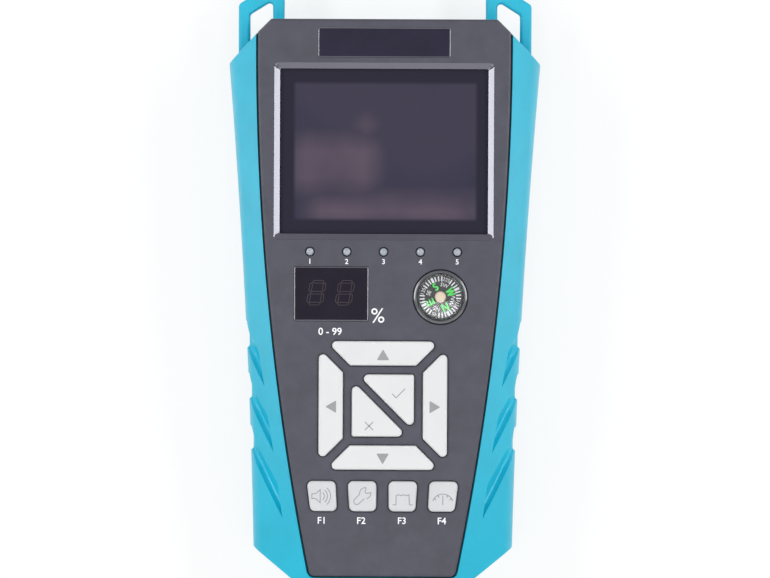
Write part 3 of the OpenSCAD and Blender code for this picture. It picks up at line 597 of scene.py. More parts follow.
def inside(f, axis, middle, half, soft):
    """1 within half of the middle along an axis, and 0 outside, with a soft border."""
    split = f.add("ShaderNodeSeparateXYZ")
    f.link(f.place, split.inputs["Vector"])
    off = maths(f, "ABSOLUTE", maths(f, "SUBTRACT", split.outputs[axis], middle * MM))
    return spread(f, off, 1, 0, (half - soft) * MM, (half + soft) * MM)


def on_screen(f, x, y, half_w, half_h, soft):
    """1 on a part of the screen, which is placed from the screen's middle, and 0 outside."""
    across = inside(f, "X", SCREEN.mid.x + x, half_w, soft)
    return maths(f, "MULTIPLY", across, inside(f, "Y", SCREEN.mid.y + y, half_h, soft))


def screen_finish():
    """A glossy window: a printed black border round the slightly paler unlit picture area. The picture's tone
    is uneven at random, and it carries painted reflections as paler patches.
    """
    f = start_finish("screen_glass")
    area = on_screen(f, PICTURE_SHIFT, 0, PICTURE_W / 2, PICTURE_H / 2, PICTURE_EDGE)
    tone_and_reflection = spread(f, noise(f, HAZE_W, detail=1), 0, HAZE_MOST, start=0.35, end=0.65)
    # Painted reflections: soft paler patches, broken up by noise, which raise the picture's colour towards
    # the pale one
    for x, y, half_w, half_h in PAINTED_REFLECTION_PATCHES:
        clouds = spread(f, noise(f, REFLECTION_CLOUD_W, detail=2), 0.5, 1)
        patch = maths(f, "MULTIPLY", on_screen(f, x, y, half_w, half_h, REFLECTION_PATCH_SOFT), clouds)
        tone_and_reflection = maths(f, "MAXIMUM", tone_and_reflection, patch)
    picture = tint(f, tone_and_reflection, PICTURE_DARK, PALE_TONE_AND_REFLECTION)
    gloss = spread(f, noise(f, SCREEN_SMEAR_W, detail=5), *SCREEN_ROUGH)
    f.shader.inputs["Specular IOR Level"].default_value = SCREEN_SPECULAR
    waves = emboss(f, noise(f, SCREEN_WAVE_W, detail=1), SCREEN_WAVE_H)
    return dress(f, tint(f, area, BORDER_DARK, picture), gloss, waves)


def clear_finish():
    """The compass lens's clear plastic."""
    f = start_finish("clear_lens")
    f.shader.inputs["Base Color"].default_value = LENS_TINT
    f.shader.inputs["Transmission Weight"].default_value = 1
    f.shader.inputs["IOR"].default_value = LENS_IOR
    f.link(spread(f, noise(f, LENS_SMEAR_W, detail=4), *LENS_ROUGH), f.shader.inputs["Roughness"])
    return f.made


TURQUOISE = moulded("turquoise_plastic", (0.002, 0.425, 0.6), 0.33, mottle=0.05)
CHARCOAL = moulded(
    "charcoal_plastic", (0.0455, 0.0455, 0.065), 0.48,
    grain=0.5, grain_h=0.02, mottle=0.14, patch=7, specular=0.42,
)
CHARCOAL_GLOSS = polished("charcoal_gloss", (0.036, 0.034, 0.052), 0.09, 0.03, 0.9, (0.9, 0.9, 1))
KEY_WHITE = moulded("key_plastic", (0.62, 0.63, 0.635), 0.4, grain=0.3, grain_h=0.003, mottle=0.02)
KEY_PALE = moulded("function_key_plastic", (0.535, 0.546, 0.563), 0.4, grain=0.3, grain_h=0.003, mottle=0.02)
BLACK = moulded("black_plastic", (0.018, 0.018, 0.021), 0.4, mottle=0.2)
SMOKED = polished("smoked_window", (0.0135, 0.0105, 0.021), specular=0.12)
PLATE_DARK = polished("plate_dark", (0.021, 0.019, 0.036), specular=0.12)
# Paler than the panel: a painted highlight on the rims round the digit window and the plate, whose slopes
# also catch real highlights
PAINTED_HIGHLIGHT_EDGE = polished("painted_highlight_edge", (0.08, 0.08, 0.1), 0.14, 0.05, 0.48)
SCREEN_GLASS = screen_finish()
CLEAR = clear_finish()
LAMP_WHITE = polished("lamp_plastic", (0.31, 0.34, 0.39), 0.12, 0.06)
FOAM = moulded("foam", (0.015, 0.015, 0.016), 0.9, grain=0.4, grain_h=0.08, mottle=0.3)
SILICONE = moulded("silicone", (0.66, 0.66, 0.63), 0.6, grain=0.2, mottle=0.05)
BOARD = moulded("board", (0.015, 0.13, 0.06), 0.35, grain=1.2, grain_h=0.03, mottle=0.35, patch=3)
RIBBON = moulded("ribbon", (0.45, 0.2, 0.03), 0.3, mottle=0.15, patch=2)
TINPLATE = metal("tinplate", (0.6, 0.6, 0.6), 0.32, (1, 8, 1))
NICKEL = metal("nickel", (0.66, 0.64, 0.58), 0.22, (8, 1, 1))
STEEL = metal("screw_steel", (0.45, 0.45, 0.47), 0.3)
BRASS = metal("brass", (0.7, 0.5, 0.2), 0.25)
CELL_WRAP = moulded("cell_wrap", (0.05, 0.16, 0.4), 0.3, mottle=0.1)
WIRE = moulded("wire", (0.4, 0.012, 0.012), 0.4, mottle=0.15, patch=2)
WHITE = moulded("white_plastic", (0.8, 0.8, 0.77), 0.5, mottle=0.04)
PRINT_WHITE = ink("white_print", (0.86, 0.86, 0.9), 0.55)
SEGMENT = polished("dim_segment", (0.066, 0.05, 0.056), specular=0.2)
RING_BLACK = polished("ring_black", (0.008, 0.007, 0.012), 0.2, 0.05, 0.3)
CAPSULE = polished("capsule_plastic", (0.055, 0.055, 0.068), 0.12, 0.05, 0.65)
DIAL_BLACK = moulded("dial_black", (0.010, 0.010, 0.012), 0.5, mottle=0.2, patch=3)
HUB_BEIGE = polished("hub_beige", (0.68, 0.55, 0.42), 0.25, 0.1)
PRINT_GREEN = ink("green_print", (0.06, 0.75, 0.10))
PRINT_GREY = ink("grey_print", (0.27, 0.275, 0.285))


# Shape of the body

def side_half(y):
    """Half the body's width at its widest line, which bows in a little between shoulders and hips."""
    t = (y - Y_HIP) / (Y_SHOULDER - Y_HIP)
    return lerp(HIP_W, SHOULDER_W, t) / 2 - 4 * WAIST_IN * t * (1 - t)


def edge_r(y):
    """Radius of the body's widest edge, which is rounder towards the shoulders."""
    return lerp(HIP_EDGE_R, SHOULDER_EDGE_R, (y - Y_HIP) / (Y_SHOULDER - Y_HIP))


def panel_half(y):
    """Half the panel's width: straight at the top, then a smooth curve in towards the bottom."""
    t = max(0, PANEL_WIDE_Y - y) / (PANEL_WIDE_Y - PANEL_BOTTOM_Y)
    return lerp(PANEL_TOP_W, PANEL_BOTTOM_W, t * t) / 2


def rim_half(y):
    """Half the width of the rear shell's opening, in which the panel lies."""
    return panel_half(y) + PANEL_GAP


# Fineness of the body's mesh, its least corner and its hollow
HALVINGS = 40
LEAST_CUT = 0.4
LOW_ROWS = 30
HIGH_ROWS = 26
SKIN_CORNER_STEPS = 9
PANEL_ROWS = 40
PANEL_CORNER_STEPS = 8
HOLLOW_Z = 38
HOLLOW_CHAMFER = 1.5
ARC_STEPS = 16
WALL_LEVELS = (0.25, 0.5, 0.75)
BAND_LEVELS = (0.15, 0.3, 0.45, 0.6, 0.75, 0.87, 0.935, 0.955, 0.975, 0.99, 1)
WIDEST = ARC_STEPS + 1 + len(WALL_LEVELS) + ARC_STEPS // 2


def skin_profile(y):
    """The right half of the body's section, from the back to the rim, as points (x, z)."""
    points = rounded([
        (0, 0, 0), (side_half(y) - SIDE_DRAFT, 0, BACK_R), (side_half(y), SIDE_Z, edge_r(y)),
        (rim_half(y), RIM_Z, 0), (0, RIM_Z, 0),
    ], ARC_STEPS)[1:-1]
    back = points[:ARC_STEPS + 1]
    edge = points[ARC_STEPS + 1:-1]
    side = [back[-1].lerp(edge[0], t) for t in WALL_LEVELS]
    band = [edge[-1].lerp(points[-1], t) for t in BAND_LEVELS]
    return back + side + edge + band


def hollow_profile(y):
    """The same for the space inside, up to just below the rim."""
    slope = (RIM_Z - SIDE_Z) / (side_half(y) - rim_half(y))
    drop = WALL * math.sqrt(1 + slope * slope)
    inner_x = rim_half(y) + (RIM_Z - drop - HOLLOW_Z) / slope
    low_x = side_half(y) - SIDE_DRAFT - WALL
    return [
        Vector((low_x - HOLLOW_CHAMFER, WALL)),
        Vector((low_x, WALL + HOLLOW_CHAMFER)),
        Vector((side_half(y) - WALL, SIDE_Z - HOLLOW_CHAMFER)),
        Vector((inner_x, HOLLOW_Z)),
    ]


def end_inset(z):
    """How far the rounded edges draw the ends in at a height."""
    for r, depth in ((END_R, z), (RIM_R, RIM_Z - z)):
        if depth < r:
            return r - math.sqrt(r * r - (r - depth) ** 2)
    return 0


def root(f, low, high):
    """Where f crosses zero, from below, between two values."""
    for _ in range(HALVINGS):
        middle = (low + high) / 2
        if f(middle) < 0:
            low = middle
        else:
            high = middle
    return middle


def skin_loops(profile, inset_at):
    """Loops round the body, one for each level of its section. Near the rim the slanted corners of the
    bottom end keep a least size, because the rim is hardly wider than that end."""
    slant = Vector((BOTTOM_CUT_H, -BOTTOM_CUT_W)).normalized()
    loops = []
    for level in range(len(profile(Y_MIDDLE))):
        def side(y):
            return profile(y)[level]

        high_z = side(Y_SHOULDER).y
        low_z = side(Y_HIP).y
        high_in = inset_at(high_z)
        low_in = inset_at(low_z)
        cut = CUT_SUM - high_in * math.sqrt(2)
        low_cut = slant.dot((HIP_W / 2, Y_HIP)) - low_in
        y_high = root(lambda y: side(y).x + y - cut, Y_MIDDLE, Y_TOP + TOP_CUT)
        end_y = Y_BOTTOM + low_in
        y_low = root(lambda y: low_cut - slant.dot((side(y).x, y)), Y_BOTTOM - TOP_CUT, Y_MIDDLE)
        y_low = max(y_low, end_y + LEAST_CUT)
        low_x = side(y_low).x
        end_x = min((low_cut - slant.y * end_y) / slant.x, low_x - LEAST_CUT)
        low_r = min(CORNER_R, math.hypot(low_x - end_x, y_low - end_y))
        right = [(end_x, end_y, low_r, low_z), (low_x, y_low, low_r, low_z)]
        rows = [lerp(y_low, Y_MIDDLE, k / LOW_ROWS) for k in range(1, LOW_ROWS)]
        rows += [lerp(Y_MIDDLE, y_high, k / HIGH_ROWS) for k in range(HIGH_ROWS)]
        for y in rows:
            spot = side(y)
            right.append((spot.x, y, 0, spot.y))
        right += [
            (side(y_high).x, y_high, CORNER_R, high_z),
            (cut - Y_TOP + high_in, Y_TOP - high_in, CORNER_R, high_z),
        ]
        loops.append(rounded(both_sides(right), SKIN_CORNER_STEPS))
    return loops


def panel_side(inset):
    """The right side of the panel's outline, from its bottom corner to below its top cut."""
    low = PANEL_BOTTOM_Y + inset
    high = CUT_SUM - PANEL_TOP_W / 2
    rows = [lerp(low + PANEL_R, high, k / PANEL_ROWS) for k in range(1, PANEL_ROWS)]
    return [(panel_half(low) - inset, low, PANEL_R - inset)] + [(panel_half(y) - inset, y, 0) for y in rows]


def panel_outline(inset=0.0):
    """The panel's outline. A negative inset widens its sides alone, and leaves its top end where it is."""
    end_in = max(0, inset)
    cut = CUT_SUM - end_in * math.sqrt(2)
    side = panel_half(CUT_SUM - PANEL_TOP_W / 2) - inset
    ends = [(side, cut - side, CORNER_R / 2), (cut - Y_TOP + end_in, Y_TOP - end_in, CORNER_R)]
    return rounded(both_sides(panel_side(inset) + ends), PANEL_CORNER_STEPS)


# Rear housing

GROOVE_COUNT = 3
GROOVE_DROP = 127
GROOVE_PITCH = 19.8
GROOVE_LEN = 15
GROOVE_LEN_STEP = 5.6
GROOVE_REACH = 6.7
GROOVE_REACH_STEP = 2.7
GROOVE_TAIL = 3.45
GROOVE_TAIL_STEP = -0.7
GROOVE_MOUTH = 10.8
GROOVE_MOUTH_STEP = -0.5
GROOVE_FOLD_W = 7.8
GROOVE_BEND_W = 12.2
GROOVE_RAMP = 2
GROOVE_WALL = 1.2
GROOVE_HOLLOW = 0.29
GROOVE_DEPTH = 1.35
GROOVE_DIP = 0.3
GROOVE_TIP_DEPTH = 2.2
GROOVE_LEAN = 1.5
GROOVE_SIDE = 19
GROOVE_ROWS = 24
GROOVE_CLEAR = 0.02
GROOVE_STEPS = 18
GROOVE_LIP = (-0.4, -0.2)
GROOVE_RUN_OUT = (1, -0.25)
GROOVE_FARTHEST = 22
GROOVE_LEAST = 0.004
GROOVE_BLEND = 3
GROOVE_ROOF = 3
SKIN_PROBE = 0.5


def skin_place(y, s):
    """The skin's point (x, z) at a length along the section from the widest line, up to the rim."""
    points = skin_profile(y)
    step = 1 if s > 0 else -1
    i = WIDEST
    left = abs(s)
    gap = (points[i + step] - points[i]).length
    while left > gap:
        left -= gap
        i += step
        gap = (points[i + step] - points[i]).length
    return points[i].lerp(points[i + step], left / gap)


def groove_share(v, width, blend):
    """Share of the depth at a place across a groove, from its step to its fold: on the side a floor between
    a wall and a short ramp, and on the band, where blend is 1, a hollow wall and a floor up to the fold."""
    t = v / width
    wall = 1 - (1 - min(1, v / GROOVE_WALL)) ** 2
    ramp = min(1, (width - v) / GROOVE_RAMP)
    if t < GROOVE_HOLLOW:
        hollow = 1 - (1 - t / GROOVE_HOLLOW) ** 3
    else:
        hollow = 1 - ((t - GROOVE_HOLLOW) / (1 - GROOVE_HOLLOW)) ** 1.25
    return lerp(wall * ramp * lerp(1 - GROOVE_DIP, 1, t), hollow, blend)


def groove_section(width, blend):
    """Places across a groove, each with its share of the depth, from just before its step."""
    places = [GROOVE_LIP]
    for k in range(GROOVE_STEPS + 1):
        v = width * (k / GROOVE_STEPS) ** 1.5
        places.append((v, groove_share(v, width, blend)))
    beyond, share = GROOVE_RUN_OUT
    places.append((width + beyond, share))
    return places


def groove(k, mirrored):
    """A cutter for one grip groove, from its tip on the band round to the side."""
    length = GROOVE_LEN + k * GROOVE_LEN_STEP
    reach = GROOVE_REACH + k * GROOVE_REACH_STEP
    mouth = GROOVE_MOUTH + k * GROOVE_MOUTH_STEP
    tail = (GROOVE_TAIL + k * GROOVE_TAIL_STEP) / length
    y_step = Y_TOP - GROOVE_DROP - k * GROOVE_PITCH
    tip_x = skin_place(y_step, 0).x - reach
    tip_s = root(lambda s: tip_x - skin_place(y_step - length, s).x, 0, GROOVE_FARTHEST)
    rings = []
    for i in range(-GROOVE_ROWS, GROOVE_ROWS + 1):
        q = i / GROOVE_ROWS
        if q > 0:
            y_line = y_step - length * q
            s = tip_s * q
            close = max(GROOVE_LEAST, min(1, (1 - q) / tail))
            width = lerp(GROOVE_FOLD_W, GROOVE_BEND_W, q)
            width += (mouth - GROOVE_FOLD_W) * max(0, 1 - GROOVE_BLEND * q) ** 2
            width *= close
            blend = min(1, GROOVE_BLEND * q)
            depth = lerp(GROOVE_DEPTH, GROOVE_TIP_DEPTH, blend) * math.sqrt(close)
        else:
            y_line = y_step + GROOVE_LEAN * q
            s = GROOVE_SIDE * q
            width = mouth * max(GROOVE_LEAST, 1 - q ** 6)
            blend = 0
            depth = GROOVE_DEPTH * (1 - q ** 4)
        floor = []
        roof = []
        for v, share in groove_section(width, blend):
            y = y_line + v
            spot = skin_place(y, s)
            way = skin_place(y, s + SKIN_PROBE) - skin_place(y, s - SKIN_PROBE)
            out = Vector((way.y, -way.x)).normalized()
            for row, rise in ((floor, GROOVE_CLEAR - depth * share), (roof, GROOVE_ROOF)):
                x = spot.x + out.x * rise
                row.append((-x if mirrored else x, y, spot.y + out.y * rise))
        rings.append(floor + roof[::-1])
    return stacked("groove", rings)


LOOP_LEG = 6.5
LOOP_BAR = 4.5
LOOP_TOP = 5.8
LOOP_T = 6
LOOP_Z = 13
LOOP_INSET = 3.9
LOOP_IN = 39.2
LOOP_FLAT = 3.5
LOOP_EDGE = 1.1
LOOP_OUT_R = 2
LOOP_CREST_R = 2.5
LOOP_IN_R = 1.6
LOOP_WINDOW_R = 1.4


def strap_loop(side):
    """A flat loop for the strap, rooted in the top end's wall."""
    outer = SHOULDER_W / 2 - LOOP_INSET
    root_in = WALL / 2
    leg_y = Y_TOP + LOOP_LEG
    slope = (Y_MAX - leg_y) / (outer - LOOP_IN - LOOP_FLAT)
    thick = LOOP_TOP * math.sqrt(1 + slope * slope)
    window_out = outer - LOOP_BAR
    window_in = LOOP_IN + LOOP_BAR

    def turned_round(corners):
        flipped = [(side * x, y, r) for x, y, r in corners]
        return rounded(flipped if side > 0 else flipped[::-1])

    bar = slab("strap_loop", turned_round([
        (outer, CUT_SUM - outer - root_in, 0), (outer, leg_y, LOOP_OUT_R),
        (LOOP_IN + LOOP_FLAT, Y_MAX, LOOP_CREST_R), (LOOP_IN, Y_MAX, LOOP_IN_R),
        (LOOP_IN, Y_TOP - root_in, 0),
    ]), LOOP_Z, LOOP_Z + LOOP_T, LOOP_EDGE, LOOP_EDGE)
    window = hole(turned_round([
        (window_out, CUT_SUM - window_out - 2 * root_in, 0),
        (window_out, leg_y + slope * LOOP_BAR - thick, LOOP_WINDOW_R),
        (window_in, leg_y + slope * (outer - window_in) - thick, LOOP_WINDOW_R),
        (window_in, Y_TOP - 2 * root_in, 0),
    ]), LOOP_Z, LOOP_Z + LOOP_T, LOOP_EDGE, LOOP_EDGE)
    return carved(bar, [window])


BOSS_R = 4.7
BOSS_INSET = 4.7
BOSS_TOP = 20
BOSS_DROP = 94
SEAT_Z = 12
SEAT_R = 3.3
SEAT_MOUTH = 0.6
SCREW_HOLE_R = 1.45
SCREWS = node_box("shell_screws")
HEAD_R = 2.9
BOSSES = [
    (SCREWS.high.x - HEAD_R, SCREWS.high.y - HEAD_R), (SCREWS.high.x - HEAD_R, Y_TOP - BOSS_DROP),
    (HIP_W / 2 - BOTTOM_CUT_W - BOSS_INSET, SCREWS.low.y + HEAD_R),
]
DOOR_W = 46
DOOR_L = 88
DOOR_FRAME = 2
DOOR_FRAME_T = 5.2
DOOR_DEPTH = 2.4
DOOR_R = 2
DOOR_MOUTH = 0.4
DOOR_SCREW_IN = 5
DOOR_Y = DOOR_SCREW.mid.y + DOOR_SCREW_IN - DOOR_L / 2
BAY_W = 41
BAY_L = 74
BAY_ROOF = 21.8
BAY_WALL = 1.6
BAY_R = 0.6
BAY_OUTER_R = 1
BAY_Y = Y_TOP - 123
SOUNDER = node_box("sounder")
SLOT_PITCH = 4.4
SLOT_W = 1.8
SLOT_COUNT = 5
SLOT_R = 0.85
SLOT_MOUTH = 0.35
SLOT_MARGIN = 3
SOCKET_HOLE_R = 4.92


def at_both(places):
    """Each place on the right, and its mirror image on the left."""
    return [(side * x, y) for x, y in places for side in (1, -1)]


def rear_housing():
    """The turquoise rear shell with its grip grooves, strap loops, battery bay and screw wells."""
    shell = stacked("rear_housing", skin_loops(skin_profile, end_inset))
    hollow = stacked("hollow", skin_loops(hollow_profile, lambda z: WALL))
    mouth = both_sides(panel_side(-PANEL_GAP) + [(rim_half(Y_TOP), Y_TOP + 2 * OVER, 0)])
    opening = hole(rounded(mouth, PANEL_CORNER_STEPS), TOP_SPLIT_Z, RIM_Z, edge=RIM_R)
    carved(shell, [hollow, opening])
    carved(shell, [groove(k, flip) for k in range(GROOVE_COUNT) for flip in (False, True)])
    added = [slab("boss", circle(BOSS_R, x, y), WALL / 2, BOSS_TOP) for x, y in at_both(BOSSES)]
    door_frame = rectangle(DOOR_W + 2 * DOOR_FRAME, DOOR_L + 2 * DOOR_FRAME, DOOR_R, 0, DOOR_Y)
    added.append(slab("frame", door_frame, WALL / 2, DOOR_FRAME_T))
    bay_walls = rectangle(BAY_W + 2 * BAY_WALL, BAY_L + 2 * BAY_WALL, BAY_OUTER_R, 0, BAY_Y)
    added.append(slab("bay", bay_walls, WALL / 2, BAY_ROOF + BAY_WALL))
    carved(shell, added + [strap_loop(1), strap_loop(-1)], "UNION")
    cuts = [hole(rectangle(DOOR_W, DOOR_L, DOOR_R, 0, DOOR_Y), 0, DOOR_DEPTH, foot=DOOR_MOUTH)]
    cuts.append(slab("bay", rectangle(BAY_W, BAY_L, BAY_R, 0, BAY_Y), OVER, BAY_ROOF))
    for x, y in at_both(BOSSES):
        cuts.append(hole(circle(SEAT_R, x, y), 0, SEAT_Z, foot=SEAT_MOUTH))
        shank = circle(SCREW_HOLE_R, x, y, HOLE_SIDES)
        cuts.append(slab("screw_hole", shank, SEAT_Z - OVER, BOSS_TOP + OVER))
    shank = circle(SCREW_HOLE_R, 0, DOOR_SCREW.mid.y, HOLE_SIDES)
    cuts.append(slab("door_hole", shank, OVER, DOOR_FRAME_T + OVER))
    reach = SOUNDER.size.x / 2 - SLOT_MARGIN
    for k in range(SLOT_COUNT):
        off = SLOT_PITCH * (k - SLOT_COUNT // 2)
        w = 2 * math.sqrt(reach ** 2 - off ** 2)
        slot = rectangle(w, SLOT_W, SLOT_R, SOUNDER.mid.x, SOUNDER.mid.y + off)
        cuts.append(hole(slot, 0, WALL + OVER, foot=SLOT_MOUTH))
    ends = (Y_BOTTOM - OVER, Y_BOTTOM + WALL + OVER)
    cuts.append(along_y(turned("socket_hole", [(SOCKET_HOLE_R, y) for y in ends]), 0, SOCKET.mid.z))
    carved(shell, cuts)
    return settle(shell, "housing", TURQUOISE, ["rear_shell"], sharp=8)


# Front housing

APRON_L = 8.5
LEDGE_DROP = 4
SEAT_BLOCK = 5
SEAT_T = 1.5
CUT_R = 0.5
POST_R = 4
PILOT_R = 1.2
PILOT_TOP = 35
INLET = node_box("power_inlet")
SWITCH = node_box("switch_body")
INLET_R = 3.35
INLET_DROP = 4.5
END_MOUTH = 0.3
SWITCH_SLOT_W = 8.4
SWITCH_SLOT_H = 3.8
SWITCH_SLOT_R = 0.6
KEY_FLARE = 0.35
LAMP_HOLE_R = 1.85
LAMP_MOUTH = 0.2
PLATE_MOUTH = 0.3
DIGIT_MOUTH = 0.35
CUP_PLAY = 0.15
CUP_LEDGE = 0.4
CUP_DEPTH = 0.75
CUP_MOUTH = 0.25


def bar_outline(turn):
    """One of the four long keys round the pad's middle."""
    inner = PAD_W / 2 - BAR_W
    outer = PAD_W / 2
    slit = BAR_SLIT / math.sqrt(2)
    right = [(inner - slit, inner, KEY_R / 2), (outer - slit, outer, KEY_R)]
    return placed(rounded(both_sides(right)), turn, 0, PAD_Y)


def core_outline(turn):
    """One of the two keys that share the pad's middle."""
    half = CORE_W / 2
    low = CORE_SLIT / math.sqrt(2) - half
    corners = [(half, low, KEY_R), (half, half, KEY_R / 2), (low, half, KEY_R)]
    return placed(rounded(corners), turn, 0, PAD_Y)


def function_outline(index):
    """One of the four keys in the lower row, which narrows a little downwards."""
    top = index * FUNCTION_TOP_PITCH
    bottom = index * FUNCTION_BOTTOM_PITCH
    low = FUNCTION_Y - FUNCTION_H / 2
    high = FUNCTION_Y + FUNCTION_H / 2
    return rounded([
        (bottom + FUNCTION_BOTTOM_W / 2, low, FUNCTION_R), (top + FUNCTION_TOP_W / 2, high, FUNCTION_R),
        (top - FUNCTION_TOP_W / 2, high, FUNCTION_R), (bottom - FUNCTION_BOTTOM_W / 2, low, FUNCTION_R),
    ])


def placed(outline, turn, x, y):
    """An outline turned by some degrees and then moved."""
    matrix = Matrix.Rotation(math.radians(turn), 2)
    return [matrix @ p + Vector((x, y)) for p in outline]


KEYS = {
    "key_up": bar_outline(0), "key_left": bar_outline(90), "key_down": bar_outline(180),
    "key_right": bar_outline(270), "key_ok": core_outline(0), "key_exit": core_outline(180),
    "key_alarm": function_outline(-1.5), "key_tools": function_outline(-0.5),
    "key_spectrum": function_outline(0.5), "key_meter": function_outline(1.5),
}
FUNCTION_KEYS = ("key_alarm", "key_tools", "key_spectrum", "key_meter")
LAMP_XS = [LAMPS.mid.x + LAMP_PITCH * (k - (LAMP_COUNT - 1) / 2) for k in range(LAMP_COUNT)]


def frame_outline(w, h):
    """An outline round the screen, grown from the glass by a width and a height."""
    r = lerp(FRAME_INNER_R, FRAME_R, w / FRAME_W)
    return rectangle(GLASS_W + 2 * w, SCREEN.size.y + 2 * h, r, SCREEN.mid.x, SCREEN.mid.y)


def screen_frame():
    """The polished frame round the screen: a slope that steepens inwards, and a wall down to the glass."""
    low = SCREEN.low.z
    outer = frame_outline(FRAME_W, FRAME_H)
    rings = [at_z(outer, low), at_z(outer, PANEL_Z - FRAME_EDGE)]
    for inset, fall in quarter(FRAME_EDGE, 5)[1:4]:
        rings.append(at_z(grown(outer, -inset), PANEL_Z - fall))
    z = PANEL_Z - FRAME_EDGE * FRAME_CREST
    for k in range(1, FRAME_STEPS + 1):
        angle = lerp(FRAME_SLOPE_OUT, FRAME_SLOPE_IN, (k - 0.5) / FRAME_STEPS)
        z -= FRAME_W / FRAME_STEPS * math.tan(math.radians(angle))
        share = 1 - k / FRAME_STEPS
        rings.append(at_z(frame_outline(FRAME_W * share + SEAM, FRAME_H * share + SEAM), z))
    wall = frame_outline(SEAM / 2, SEAM / 2)
    rings += [at_z(wall, z - FRAME_LIP), at_z(wall, low)]
    made = stacked("screen_frame", rings, loop=True)
    return settle(made, "housing", CHARCOAL_GLOSS)


def recess(box, r, edge):
    """A cutter for a window or plate that lies in the panel."""
    outline = rectangle(box.size.x + SEAM, box.size.y + SEAM, r, box.mid.x, box.mid.y)
    return hole(outline, box.low.z, PANEL_Z, edge)


def front_housing():
    """The charcoal front shell, with the places for the screen, keys, lamps and compass."""
    ledge = panel_outline(SEAM - PANEL_GAP)
    rings = [at_z(ledge, TOP_SPLIT_Z + SEAM), at_z(ledge, PANEL_Z - LEDGE_DROP)]
    rings.append(at_z(panel_outline(), PANEL_Z - LEDGE_DROP))
    rings += [at_z(panel_outline(inset), PANEL_Z - drop) for inset, drop in PANEL_EDGE]
    shell = stacked("front_housing", rings)
    back_z = PANEL_Z - PANEL_T
    hollow = stacked("hollow", [at_z(panel_outline(SKIRT_T), z) for z in (TOP_SPLIT_Z - OVER, back_z)])
    apron_y = Y_TOP - APRON_L
    low_y = PANEL_BOTTOM_Y - OVER
    under = rectangle(SHOULDER_W, apron_y - low_y, CUT_R, 0, (apron_y + low_y) / 2)
    carved(shell, [hollow, slab("below", under, TOP_SPLIT_Z - OVER, back_z - SKIRT_H)])
    seat_w = SCREEN.size.x + 2 * SEAT_BLOCK
    seat = rectangle(seat_w, SCREEN.size.y + 2 * SEAT_BLOCK, FRAME_R, SCREEN.mid.x, SCREEN.mid.y)
    posts = [slab("post", circle(POST_R, x, y), BOSS_TOP + SEAM, back_z + OVER) for x, y in at_both(BOSSES)]
    carved(shell, posts + [slab("seat", seat, SCREEN.low.z - SEAT_T, back_z + OVER)], "UNION")
    pilots = [circle(PILOT_R, x, y, HOLE_SIDES) for x, y in at_both(BOSSES)]
    cuts = [slab("pilot", pilot, BOSS_TOP - OVER, PILOT_TOP) for pilot in pilots]
    cuts.append(hole(frame_outline(FRAME_W, FRAME_H), SCREEN.low.z, PANEL_Z + OVER))
    view = rectangle(VIEW_W, VIEW_H, CUT_R, 0, SCREEN.mid.y)
    cuts.append(slab("view", view, back_z - SKIRT_H, SCREEN.low.z + OVER))
    cuts.append(recess(PLATE, PLATE_R + SEAM, PLATE_MOUTH))
    cuts.append(recess(DIGITS, DIGIT_R + SEAM, DIGIT_MOUTH))
    lamp_holes = [circle(LAMP_HOLE_R, x, LAMPS.mid.y, LAMP_SIDES) for x in LAMP_XS]
    cuts += [hole(outline, back_z - OVER, PANEL_Z, LAMP_MOUTH) for outline in lamp_holes]
    cuts += [hole(grown(outline, KEY_GAP), back_z - OVER, PANEL_Z, KEY_FLARE) for outline in KEYS.values()]
    case_r = CASE.size.x / 2
    cup = circle(case_r + CUP_PLAY, CASE.mid.x, CASE.mid.y, CUP_SIDES)
    bore = circle(case_r - CUP_LEDGE, CASE.mid.x, CASE.mid.y, CUP_SIDES)
    cuts.append(hole(cup, PANEL_Z - CUP_DEPTH, PANEL_Z, CUP_MOUTH))
    cuts.append(slab("bore", bore, back_z - OVER, PANEL_Z))
    end = Y_TOP - APRON_L - OVER
    wide = INLET_R + END_MOUTH
    inlet = turned("inlet_hole", [
        (INLET_R, end), (INLET_R, Y_TOP - END_MOUTH), (wide, Y_TOP), (wide, Y_TOP + OVER),
    ])
    cuts.append(along_y(inlet, INLET.mid.x, INLET.high.z - INLET_DROP))
    slot = hole(rectangle(SWITCH_SLOT_W, SWITCH_SLOT_H, SWITCH_SLOT_R), end, Y_TOP, END_MOUTH)
    cuts.append(along_y(slot, SWITCH.mid.x, SLIDER.mid.z))
    carved(shell, cuts)
    return settle(shell, "housing", CHARCOAL, ["front_shell"], sharp=20)


def key_piece(node, outline):
    """A key with a rounded top, and a flange that keeps it under the panel."""
    cap = slab(node.replace("key_", "") + "_key", outline, KEY_FOOT_Z, KEY_Z, KEY_EDGE)
    flange = slab("flange", grown(outline, FLANGE_W), KEY_FOOT_Z, KEY_FOOT_Z + FLANGE_T)
    carved(cap, [flange], "UNION")
    finish = KEY_PALE if node in FUNCTION_KEYS else KEY_WHITE
    return settle(cap, node + "_body", finish, [node], sharp=40)


# Marks printed on the object: arrows, generic signs and plain numbers

ARROW_W = 4.9
ARROW_H = 4.2
ARROW_R = 0.25
ARROW_DROP = 0.5
TICK_SIGN = ((3.6, 4.6), (5.1, 3.0), (8.6, 6.6))
EXIT_XS = (-6.9, -3.7)
EXIT_DROP = 7.9
EXIT_RISE = 1.6
SIGN_LINE = 0.36
ICON_LINE = 0.34
SPANNER_SIZE = 0.86
LOW_SIGNS = {"key_spectrum": 0.8, "key_meter": 0.9}
BOLD = 0.012
LAMP_NUMBER_H = 2
LABEL_Y = Y_TOP - 93.5
KEY_LABEL_H = 2.6
KEY_LABEL_SHIFT = 0.3
KEY_LABEL_Y = Y_TOP - 193.4
CAPTION_H = 2.8
CAPTION_SHIFT = 0.4
CAPTION_Y = Y_TOP - 120.5
PERCENT_H = 5.6
PERCENT_GAP = 3.7
PERCENT_Y = Y_TOP - 114.3


